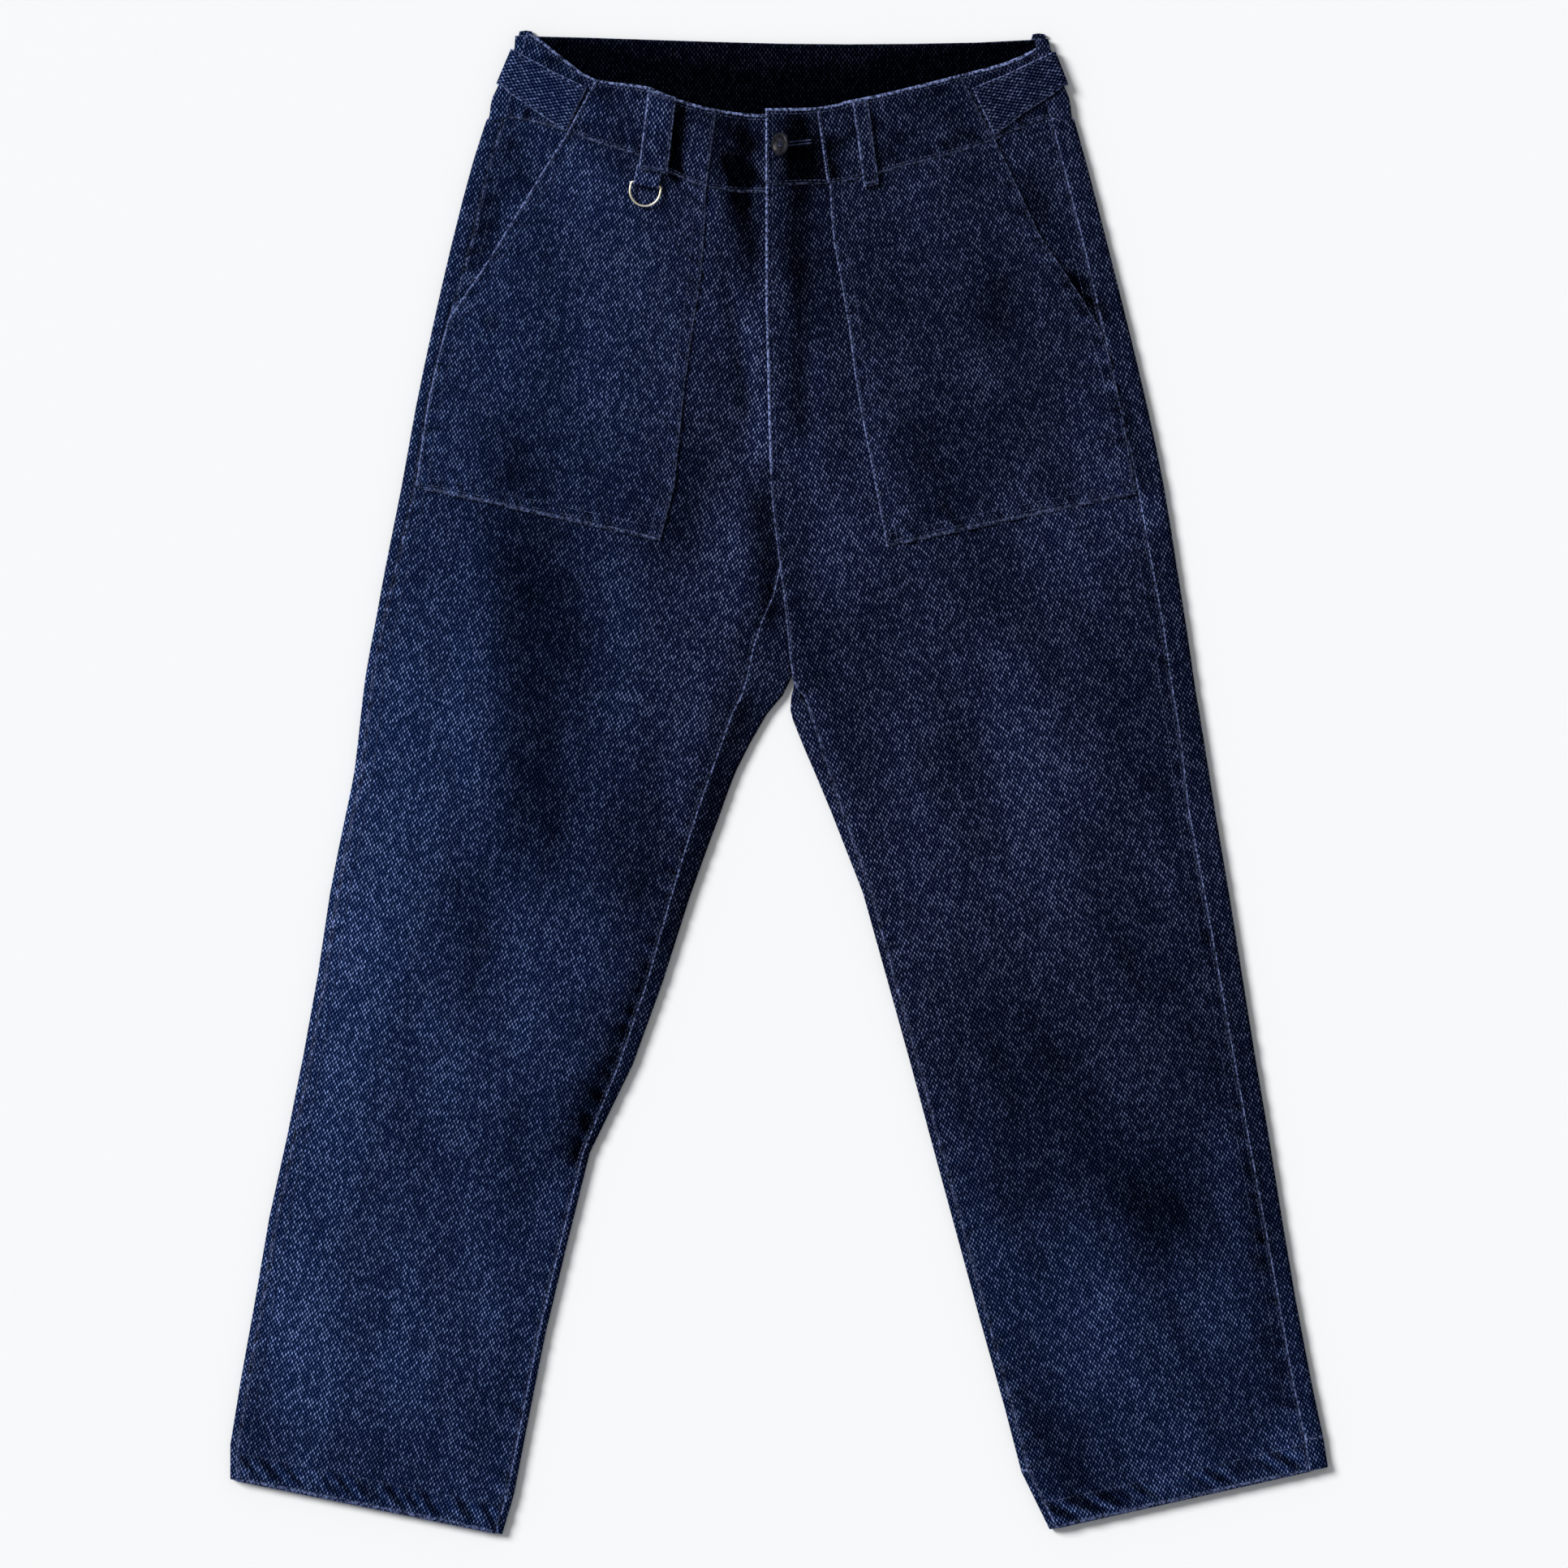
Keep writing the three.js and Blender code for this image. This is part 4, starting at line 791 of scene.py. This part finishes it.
thread_finish, thread_tree, thread_shader, thread_place = new_material("indigo_thread")
thread_fade = ramp(thread_tree, noise(thread_tree, thread_place, 160.0, 3.0), 0.38, 0.66)
thread_colour = mix_colour(thread_tree, thread_fade, (0.006, 0.010, 0.036, 1), (0.090, 0.115, 0.240, 1))
thread_tree.links.new(thread_colour, thread_shader.inputs["Base Color"])
thread_ply = {"Vector": thread_place, "Scale": 900.0}
thread_ply = add_node(thread_tree, "ShaderNodeTexWave", thread_ply, wave_type="BANDS")
thread_bump = {"Height": thread_ply.outputs["Fac"], "Distance": 0.00008}
thread_bump = add_node(thread_tree, "ShaderNodeBump", thread_bump)
thread_tree.links.new(thread_bump.outputs["Normal"], thread_shader.inputs["Normal"])
thread_shader.inputs["Roughness"].default_value = 0.8
thread_shader.inputs["Specular IOR Level"].default_value = 0.15


def stitch_places(line, cross):
    """Ends of each stitch along a line, or of each stitch of a bar tack that width across it."""
    line = np.asarray(line, float)
    steps = np.hypot(*np.diff(line, axis=0).T)
    run = np.concatenate([[0], np.cumsum(steps)])
    starts = np.arange(0.2, run[-1] - 0.2, tack_pitch if cross else stitch_pitch)

    def at(distance):
        return np.stack([np.interp(distance, run, line[:, 0]), np.interp(distance, run, line[:, 1])], axis=1)

    if not cross:
        return at(starts), at(np.minimum(starts + stitch_length, run[-1]))
    ahead = at(starts + 0.3) - at(starts - 0.3)
    ahead /= np.maximum(np.hypot(*ahead.T), 1e-6)[:, None]
    aside = np.stack([-ahead[:, 1], ahead[:, 0]], axis=1) * cross / 2
    return at(starts) - aside, at(starts) + aside


def sew(piece, rows):
    """Stitches that lie on a piece, along plan lines. Each row is (line, width of a bar tack or 0)."""
    surface = BVHTree.FromPolygons(
        [v.co.copy() for v in piece.data.vertices], [list(p.vertices) for p in piece.data.polygons]
    )
    down = Vector((0, 0, -1))
    points = []
    faces = []
    for line, cross in rows:
        for start, end in zip(*stitch_places(line, cross)):
            way = end - start
            length = math.hypot(*way)
            if length < 0.4:
                continue
            aside = np.array([-way[1], way[0]]) / length
            stitch = []
            for share, lift, radius in stitch_shape:
                x, y = start + way * share
                hit = surface.ray_cast(Vector((x * mm, y * mm, 0.06)), down)[0]
                if hit is None:
                    break
                middle = hit.z / mm + lift
                for k in range(stitch_sides):
                    angle = 2 * math.pi * k / stitch_sides
                    out = aside * math.cos(angle) * radius
                    stitch.append((x + out[0], y + out[1], middle + math.sin(angle) * radius))
            if len(stitch) < len(stitch_shape) * stitch_sides:
                continue
            first = len(points)
            points += stitch
            ring = range(stitch_sides)
            for k in range(len(stitch_shape) - 1):
                a = first + k * stitch_sides
                b = a + stitch_sides
                for i in ring:
                    after = (i + 1) % stitch_sides
                    faces.append((a + i, b + i, b + after, a + after))
            faces.append([first + i for i in ring])
            faces.append([first + (len(stitch_shape) - 1) * stitch_sides + i for i in reversed(ring)])
    mesh = bpy.data.meshes.new(piece.name.replace("cloth", "stitches"))
    mesh.from_pydata((np.array(points) * mm).tolist(), [], faces)
    mesh.polygons.foreach_set("use_smooth", [True] * len(mesh.polygons))
    mesh.materials.append(thread_finish)
    stitches = add_object(mesh.name, mesh)
    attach(stitches, "trousers")
    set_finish(stitches, piece["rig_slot"])
    return stitches


def leg_relief(panel, seed):
    """Fine wrinkles and seam puckers of a front leg."""
    x, y = panel.x, panel.y
    soft = 0.50 * crumple(x, y, 70, seed, angle=math.pi / 2, stretch=2.6)
    fine = 0.16 * crumple(x, y, 22, seed + 1, angle=math.pi / 2, stretch=1.6)
    seam = 0.0
    for k, distance in enumerate((panel.left, panel.right)):
        seam = seam + 0.75 * ripple(panel.down + 0.5 * distance, 14, seed + 2 + k) * np.exp(-distance / 8)
    rope = np.exp(-(((panel.bottom - hem_depth * 0.5) / 9) ** 2))
    roping = 1.1 * ripple(panel.over + 0.9 * panel.bottom, 15, seed + 5) * rope
    return (soft + fine) * ease(panel.nearest / 14) + seam + roping


def hem_step(panel):
    return hem_raise * ease((hem_depth + 0.4 - panel.bottom) / 0.8)


for side, top, grain, seed in (("left", left_top, -12.0, 31), ("right", right_top, 12.0, 41)):
    panel = Panel("front_" + side, front_step)
    relief = leg_relief(panel, seed)
    height = top(panel.x, panel.y) + relief + hem_step(panel)
    rim, rub = panel.worn(left=0.55, right=0.55, bottom=0.6)
    hem_edge = np.abs(panel.bottom - hem_depth) + 0.2
    rub = np.where(hem_edge < rim, 0.6, rub)
    rim = np.minimum(rim, hem_edge)
    if side == "right":
        on_fly = ease((panel.y - 205) / 12) * (panel.left < panel.right)
        rub = rub + on_fly * 0.7
        rim = rim / (1 + 0.5 * on_fly)
    rows = panel.rows(("bottom", hem_depth - 1.2))
    if side == "left":
        rows += panel.rows(("left", seam_inset), ("left", second_inset), ("right", seam_inset, crotch_share))
    else:
        rows += panel.rows(("right", seam_inset), ("right", second_inset), ("left", seam_inset, fly_share))
        rows += panel.rows(*(("left", inset, 0.0, fly_share) for inset in (fly_inset, fly_second_inset)))
        rows.append((fly_tack, tack_width))
    piece = lay_panel("front_" + side, panel, height, cloth_wall, denim, (rim, rub))
    # Painted light and shade: the relief's ridges are drawn paler and its hollows darker, more so on the hem.
    on_hem = ease((hem_depth - panel.bottom) / 3)
    tone = both_faces(np.clip(relief * (0.65 + 0.6 * on_hem), -0.9, 0.9))
    finish_cloth(piece, ["front_" + side], "denim", grain, relief=tone, rows=rows)

# Patch pockets
# One cloth patch on each front, sewn down on three sides with two rows of stitches. Its slanted edge
# is the open mouth, turned in and stitched, and stands up a little.
denim_face = cloth_material("indigo_rice_weave_face", brightness=1.05)
pocket_rise = 1.9
pocket_step = 2.0
mouth_curl = 1.2
mouth_ends = {"left": [(-141, 436), (-222, 313)], "right": [(147, 430), (219, 305)]}


def pocket_relief(panel, seed):
    x, y = panel.x, panel.y
    soft = 0.34 * crumple(x, y, 60, seed, angle=math.pi / 2, stretch=2.0)
    fine = 0.12 * crumple(x, y, 20, seed + 1)
    seam = 0.0
    for k, distance in enumerate((panel.left, panel.right, panel.bottom)):
        run = panel.over if k == 2 else panel.down
        seam = seam + 0.85 * ripple(run + 0.5 * distance, 15, seed + 2 + k) * np.exp(-distance / 9)
    return (soft + fine) * ease(panel.nearest / 12) + seam


for side, top, grain, seed in (("left", left_top, -10.3, 51), ("right", right_top, 10.5, 61)):
    panel = Panel("pocket_" + side, pocket_step)
    outside, inside = ("left", "right") if side == "left" else ("right", "left")
    relief = pocket_relief(panel, seed)
    mouth = ease((panel.y - 318) / 14) * np.exp(-getattr(panel, outside) / 6)
    height = top(panel.x, panel.y) + pocket_rise + relief + mouth_curl * mouth
    rows = [
        (panel.line(where, inset), 0)
        for where in (outside, inside, "bottom") for inset in (seam_inset, second_inset)
    ]
    rows += [([(x - 2.5, y + 1), (x + 2.5, y - 1)], tack_width) for x, y in mouth_ends[side]]
    piece = lay_panel(
        "pocket_" + side, panel, height, cloth_wall, denim_face, panel.worn(left=0.7, right=0.75, bottom=0.45)
    )
    # Painted light and shade: the relief's ridges are drawn paler and its hollows darker.
    tone = both_faces(np.clip(relief * 0.75, -0.6, 0.6))
    finish_cloth(
        piece, ["pocket_" + side], "denim_face", grain, coarse=pocket_fineness,
        relief=tone, rows=rows,
    )

# Waistband
# Seven pieces: one round the back, seen from inside over the front's edge, and six along the front.
# Each is double cloth with a rolled, stitched top edge; the pocket pieces are thicker.
# Painted shade: the inside of the back band is the same cloth, drawn darker all over.
denim_shaded_inside = cloth_material("indigo_rice_weave_shaded_inside", brightness=0.55)
band_rise = 0.6
band_wall = 2.0
mid_rise = 2.4
mid_wall = 3.0
band_seam_inset = 1.6
band_top_inset = 2.4
band_step = 1.3


band_end_x = 140
band_end_z = 5.0
front_waist = [(-150, 482), (-80, 467), (-10, 457), (0, 460), (50, 462), (150, 480)]
inside_shade = 0.45
front_shade = 0.9
front_shade_reach = 14.0


def back_band_shape(co):
    """Fine creases inside, and ends that reach down to the legs' side seams."""
    x, y, z = co.T
    inside = ease((z - 2.6) / 0.8) * ease((4.6 - z) / 0.8)
    crease = 0.10 * inside * crumple(x, y, 16, 71, angle=math.pi / 2, stretch=2.4)
    far = np.abs(x)
    reach = -4.5 * ease((far - band_end_x) / 20) * ease((460 - y) / 4)
    beyond_seam = far - np.interp(y, [453.8, 505.0], [185.3, 173.0])
    closer = np.sign(x) * -1.5 * (z > band_end_z) * np.clip(1 - beyond_seam / 6, 0, 1) * (far > 160)
    under = -7.0 * ease((464 - y) / 5) * ease((band_end_x - 4 - far) / 8)
    return co + np.stack([closer, reach + under, crease], axis=1)


piece = wrapped_piece("waistband_back", 3.0, denim_shaded_inside, back_band_shape, rub=0.25)
piece.data.materials.append(denim_face)
turned_over = []
for face in piece.data.polygons:
    outside = abs(face.center.x) > band_end_x * mm and face.center.z > band_end_z * mm
    face.material_index = int(outside)
    turned_over += list(face.vertices) if outside else []
# Painted shade: the back band's inside is drawn darker all over and darkest just above the front's waist
# edge, where the raised front shades it; the turned-over ends are not.
plan = np.array([vertex.co for vertex in piece.data.vertices]) / mm
waist_y = np.interp(plan[:, 0], *np.array(front_waist).T)
shade = inside_shade + front_shade * np.exp(-np.maximum(0, plan[:, 1] - waist_y) / front_shade_reach)
shade[turned_over] = 0.0
finish_cloth(piece, ["waistband_back"], "denim", 0.0, dark=shade)

band_pieces = [
    ("side_left", left_top, band_rise, band_wall, -18.0, 0.45),
    ("pocket_left", left_top, mid_rise, mid_wall, -12.0, 0.35),
    ("centre_left", left_top, band_rise, band_wall, -6.0, 0.35),
    ("centre_right", right_top, band_rise, band_wall, 4.0, 0.5),
    ("pocket_right", right_top, mid_rise, mid_wall, 10.0, 0.4),
    ("side_right", right_top, band_rise, band_wall, 18.0, 0.4),
]
shank_place = (1.7, 431.2)
eye_radius = 1.7
slit_length = 22
slit_width = 0.6
slit_turn = math.radians(6)


def select_only(thing):
    bpy.ops.object.select_all(action="DESELECT")
    thing.select_set(True)
    bpy.context.view_layer.objects.active = thing


def apply_boolean(piece, cutter):
    cut = piece.modifiers.new("cut", "BOOLEAN")
    cut.operation = "DIFFERENCE"
    cut.solver = "EXACT"
    cut.object = cutter
    select_only(piece)
    bpy.ops.object.modifier_apply(modifier="cut")
    bpy.data.objects.remove(cutter)


def cut_buttonhole(piece):
    """Cuts the keyhole, an eye and a slit, and returns the rows of its close stitches."""
    place = Vector((*shank_place, 15)) * mm
    along = Vector((math.cos(slit_turn), math.sin(slit_turn), 0))
    bpy.ops.object.select_all(action="DESELECT")
    bpy.ops.mesh.primitive_cylinder_add(vertices=20, radius=eye_radius * mm, depth=0.04, location=place)
    apply_boolean(piece, bpy.context.object)
    bpy.ops.object.select_all(action="DESELECT")
    middle = place + along * slit_length / 2 * mm
    bpy.ops.mesh.primitive_cube_add(
        size=1, location=middle, scale=(slit_length * mm, slit_width * mm, 0.04), rotation=(0, 0, slit_turn)
    )
    apply_boolean(piece, bpy.context.object)
    start = np.array(shank_place) + np.array(along.xy) * 2.2
    end = np.array(shank_place) + np.array(along.xy) * (slit_length - 0.2)
    aside = np.array([-along.y, along.x]) * 1.05
    return [([start + aside, end + aside], 1.3), ([start - aside, end - aside], 1.3)]


for number, (place, top, rise, wall, grain, dark) in enumerate(band_pieces):
    name = "waistband_" + place
    panel = Panel(name, band_step)
    seed = 80 + 5 * number
    soft = 0.40 * crumple(panel.x, panel.y, 26, seed) * ease(panel.nearest / 6)
    seam = 0.75 * ripple(panel.over + 0.4 * panel.bottom, 12, seed + 1) * np.exp(-panel.bottom / 7)
    seam = seam + 0.40 * ripple(panel.over, 10, seed + 2) * np.exp(-panel.top / 5)
    relief = soft + seam
    height = top(panel.x, panel.y) + rise + relief
    rows = panel.rows(("top", band_top_inset), ("bottom", band_seam_inset))
    worn = panel.worn(left=0.35, right=0.35, top=1.1, bottom=0.35)
    if wall == mid_wall:
        worn = panel.worn(left=0.8, right=0.8, top=1.1, bottom=0.4)
        rows += panel.rows(("left", band_seam_inset), ("right", band_seam_inset))
    if place == "centre_right":
        worn = panel.worn(left=1.3, right=0.2, top=1.1, bottom=0.3)
        rows += panel.rows(("left", fly_inset), ("left", fly_second_inset))
    piece = lay_panel(name, panel, height, wall, denim_face, worn)
    if place == "centre_right":
        rows += cut_buttonhole(piece)
    # Painted light and shade: the relief's ridges are drawn paler and its hollows darker, except on the fly
    # piece.
    tone = 0.0 if place == "centre_right" else both_faces(np.clip(relief * 0.9, -0.5, 0.5))
    finish_cloth(
        piece, [name], "denim_face", grain,
        relief=tone, rows=rows, dark=dark,
    )

# Cinch straps
# A folded and stitched strap on each side, sewn down over the band's side piece and running round
# to the back.
strap_lines = {
    "left": ([(-180.6, 496.9), (-171.0, 491.6), (-150.2, 480.2), (-128.9, 470.2)],
             [(-190.6, 473.2), (-180.8, 466.0), (-163.0, 453.6), (-143.0, 440.4)]),
    "right": ([(188.3, 495.2), (178.6, 490.8), (155.0, 479.4), (131.6, 469.8)],
              [(197.1, 472.7), (187.0, 466.0), (166.0, 452.4), (147.0, 437.6)]),
}
for side, grain in (("left", 62.0), ("right", -62.0)):
    upper, lower = (np.array(line) for line in strap_lines[side])
    piece = wrapped_piece("strap_" + side, 1.6, denim_face, rub=1.0)
    rows = [(mix(upper, lower, share), 0) for share in (0.09, 0.91)]
    ends = [mix(upper[-1], lower[-1], share) * 0.985 for share in (0.08, 0.92)]
    rows.append(([ends[0] + upper[0] * 0.015, ends[1] + lower[0] * 0.015], 0))
    finish_cloth(
        piece, ["strap_" + side], "denim_face", grain, rows=rows
    )

# Belt loops and the ring tab
# Folded strips sewn at both ends over the band. The wide one's lower end holds a small tab for the
# ring. The back's two loops only show their upper ends.
loop_wall = 1.8
loop_step = 0.9
loop_inset = 1.6
loop_tack_inset = 1.8
loop_tack_width = 1.6
loop_seat = 4.6
wide_loop_foot = 7.8


def belt_loop(side, top, foot, arch, grain, coarse, seed):
    name = "belt_loop_" + side
    panel = Panel(name, loop_step)
    share = panel.top / (panel.top + panel.bottom)
    height = top(panel.x, panel.y) + mix(loop_seat, foot, share) + arch * np.sin(math.pi * share)
    relief = 0.12 * crumple(panel.x, panel.y, 14, seed)
    crown = 0.25 * ease(np.minimum(panel.left, panel.right) / 3)
    worn = panel.worn(left=0.7, right=1.1, top=0.7, bottom=0.3)
    piece = lay_panel(name, panel, height + crown + relief, loop_wall, denim_face, worn)
    rows = panel.rows(("left", loop_inset), ("right", loop_inset))
    rows += [(panel.line(end, loop_tack_inset, 0.1, 0.9), loop_tack_width) for end in ("top", "bottom")]
    # Painted light and shade: the relief's ridges are drawn paler and its hollows darker.
    finish_cloth(
        piece, [name], "denim_face", grain, coarse=coarse,
        relief=both_faces(relief), rows=rows,
    )


belt_loop("left", left_top, wide_loop_foot, 0.9, -7.0, 1.08, 101)
belt_loop("right", right_top, loop_seat, 2.0, 8.0, 1.0, 103)


def worn_corner(co):
    """Rounds the upper corners of a loop's end and lets it slump outward."""
    x, y, z = co.T
    middle = (x.min() + x.max()) / 2
    up = ease((y - y.max() + 6) / 6)
    pinch = (x - middle) * -0.22 * up
    return co + np.stack([pinch, -0.12 * np.abs(x - middle) * up, 0 * z], axis=1)


for name in ("loop_end_left", "loop_end_right"):
    piece = wrapped_piece(name, 1.5, denim, worn_corner, rub=0.6)
    finish_cloth(piece, [name], "denim", 0.0)
piece = wrapped_piece("ring_tab", 1.2, denim_face, rub=0.9)
finish_cloth(piece, ["ring_tab"], "denim_face", -11.0, relief=0.5)

# D-ring
# Brass wire bent to a D and brazed, gone pale in patches where it rubs. It swings in the tab.
wire_radius = 0.8
ring_half_width = 10.3
ring_side = 4.6
ring_corner = 1.6
bar_place = (-88.7, 404.6, 16.587)
bar_turn = math.radians(-11)
ring_tilt = math.radians(4)
wire_steps = 48


def ring_line():
    """The wire's centreline: the bar along x, the sides down -y, then half a circle."""
    w, r = ring_half_width, ring_corner
    corner = np.linspace(0, math.pi / 2, 7)
    bend = np.linspace(0, math.pi, wire_steps)
    right_corner = [(w - r + r * math.sin(a), -r + r * math.cos(a)) for a in corner]
    bow = [(w * math.cos(a), -ring_side - w * math.sin(a)) for a in bend]
    left_corner = [(-x, y) for x, y in reversed(right_corner)]
    bar = [(x, 0) for x in np.linspace(-w + r, w - r, 9)[1:-1]]
    return right_corner + bow + left_corner + bar


def bent_wire(name, places, radius, roundness, closed=False):
    """A round wire through these places, as a curve that alone is selected."""
    curve = bpy.data.curves.new(name, "CURVE")
    curve.dimensions = "3D"
    curve.bevel_depth = radius * mm
    curve.bevel_resolution = roundness
    spline = curve.splines.new("POLY")
    spline.points.add(len(places) - 1)
    for point, place in zip(spline.points, places):
        point.co = (*place, 1)
    spline.use_cyclic_u = closed
    wire = add_object(name, curve)
    select_only(wire)
    return wire


ring_places = [(x * mm, y * mm, 0) for x, y in ring_line()]
ring = bent_wire("brass_d_ring", ring_places, wire_radius, 5, closed=True)
ring_turn = Matrix.Rotation(bar_turn, 4, "Z") @ Matrix.Rotation(ring_tilt, 4, "X")
ring.matrix_world = Matrix.Translation(Vector(bar_place) * mm) @ ring_turn
bpy.ops.object.convert(target="MESH")
bpy.ops.object.transform_apply(location=True, rotation=True, scale=True)
bpy.ops.object.shade_smooth()

brass, brass_tree, brass_shader, brass_place = new_material("pale_brass")
brass_wear = ramp(brass_tree, noise(brass_tree, brass_place, 420.0, 4.0), 0.35, 0.65)
brass_colour = mix_colour(brass_tree, brass_wear, (0.86, 0.76, 0.50, 1), (1.0, 0.96, 0.84, 1))
brass_tree.links.new(brass_colour, brass_shader.inputs["Base Color"])
brass_tree.links.new(ramp(brass_tree, brass_wear, 0, 1, 0.50, 0.38), brass_shader.inputs["Roughness"])
brass_shader.inputs["Metallic"].default_value = 1.0
ring.data.materials.clear()
ring.data.materials.append(brass)
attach(ring, "d_ring")
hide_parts("d_ring")
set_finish(ring, "ring_metal")

# Button
# A turned horn button with a broad rim and four holes, tipped over on its wound thread shank.
button_profile = [
    (0.0, -1.4), (5.2, -1.4), (6.4, -1.15), (7.4, -0.6), (7.95, 0.0), (7.75, 0.75), (7.1, 1.25), (6.3, 1.4),
    (5.5, 1.28), (4.9, 0.9), (4.2, 0.5), (2.6, 0.36), (0.0, 0.34),
]
button_hole = 0.85
hole_pitch = 1.75
button_tilt = math.radians(-46)
button_z = 24.49
shank_radius = 1.05
shank_foot = 13.4

profile = bpy.data.meshes.new("button_profile")
profile_edges = [(i, i + 1) for i in range(len(button_profile) - 1)]
profile.from_pydata([(x * mm, 0, z * mm) for x, z in button_profile], profile_edges, [])
button = add_object("horn_button", profile)
select_only(button)
turned = button.modifiers.new("turned", "SCREW")
turned.steps = turned.render_steps = 64
turned.use_merge_vertices = True
turned.merge_threshold = 0.00001
bpy.ops.object.modifier_apply(modifier="turned")
bpy.ops.object.mode_set(mode="EDIT")
bpy.ops.mesh.select_all(action="SELECT")
bpy.ops.mesh.remove_doubles(threshold=0.00001)
bpy.ops.mesh.normals_make_consistent(inside=False)
bpy.ops.object.mode_set(mode="OBJECT")
for quarter in range(4):
    angle = math.pi / 4 + quarter * math.pi / 2
    place = (math.cos(angle) * hole_pitch * mm, math.sin(angle) * hole_pitch * mm, 0)
    bpy.ops.object.select_all(action="DESELECT")
    bpy.ops.mesh.primitive_cylinder_add(vertices=24, radius=button_hole * mm, depth=0.008, location=place)
    apply_boolean(button, bpy.context.object)
select_only(button)
button_place = Matrix.Translation(Vector((*shank_place, button_z)) * mm)
button_place = button_place @ Matrix.Rotation(button_tilt, 4, "Y")
button.data.transform(button_place)
bpy.ops.object.shade_smooth_by_angle(angle=math.radians(40))

horn, horn_tree, horn_shader, horn_place = new_material("dark_horn")
horn_cloud = ramp(horn_tree, noise(horn_tree, horn_place, 260.0, 5.0), 0.35, 0.7)
horn_colour = mix_colour(horn_tree, horn_cloud, (0.006, 0.006, 0.009, 1), (0.022, 0.021, 0.027, 1))
horn_tree.links.new(horn_colour, horn_shader.inputs["Base Color"])
horn_tree.links.new(ramp(horn_tree, horn_cloud, 0, 1, 0.30, 0.45), horn_shader.inputs["Roughness"])
horn_scratch = {"Height": noise(horn_tree, horn_place, 1500.0, 3.0), "Distance": 0.00006, "Strength": 0.5}
horn_scratch = add_node(horn_tree, "ShaderNodeBump", horn_scratch)
horn_tree.links.new(horn_scratch.outputs["Normal"], horn_shader.inputs["Normal"])
horn_shader.inputs["Specular IOR Level"].default_value = 0.12
button.data.materials.clear()
button.data.materials.append(horn)
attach(button, "trousers")
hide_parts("button")
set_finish(button, "button_horn")

shank_turns = 7
wound_swell = 0.12
strand_radius = 0.34
strand_steps = 6
shank_x, shank_y = (place * mm for place in shank_place)
bpy.ops.object.select_all(action="DESELECT")
bpy.ops.mesh.primitive_cylinder_add(
    vertices=20, radius=shank_radius * mm, depth=(button_z - shank_foot) * mm,
    location=(shank_x, shank_y, (button_z + shank_foot) / 2 * mm),
)
shank = bpy.context.object
shank.name = "button_shank_thread"
bpy.ops.object.transform_apply(location=True, rotation=True, scale=True)
bpy.ops.object.mode_set(mode="EDIT")
bpy.ops.mesh.select_all(action="SELECT")
bpy.ops.mesh.subdivide(number_cuts=3 * shank_turns)
bpy.ops.object.mode_set(mode="OBJECT")
for vertex in shank.data.vertices:
    turn = vertex.co.z / mm * 2 * math.pi * shank_turns / (button_z - shank_foot)
    swell = 1 + wound_swell * math.sin(turn + math.atan2(vertex.co.y - shank_y, vertex.co.x - shank_x))
    vertex.co.x = shank_x + (vertex.co.x - shank_x) * swell
    vertex.co.y = shank_y + (vertex.co.y - shank_y) * swell
bpy.ops.object.shade_smooth_by_angle(angle=math.radians(50))
shank.data.materials.append(thread_finish)
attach(shank, "trousers")
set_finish(shank, "denim_face")

hole_turns = [math.pi / 4 + k * math.pi / 2 for k in range(4)]
for number in (0, 1):
    ends = [
        Vector((math.cos(angle), math.sin(angle), 0)) * hole_pitch
        for angle in hole_turns[2 * number:2 * number + 2]
    ]
    places = []
    for k in range(strand_steps + 1):
        share = k / strand_steps
        place = ends[0].lerp(ends[1], share) + Vector((0, 0, 0.1 + 0.75 * math.sin(math.pi * share)))
        places.append(button_place @ (place * mm))
    thread = bent_wire("button_thread_%d" % (number + 1), places, strand_radius, 2)
    bpy.ops.object.convert(target="MESH")
    thread.data.materials.clear()
    thread.data.materials.append(thread_finish)
    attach(thread, "trousers")
    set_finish(thread, "denim_face")
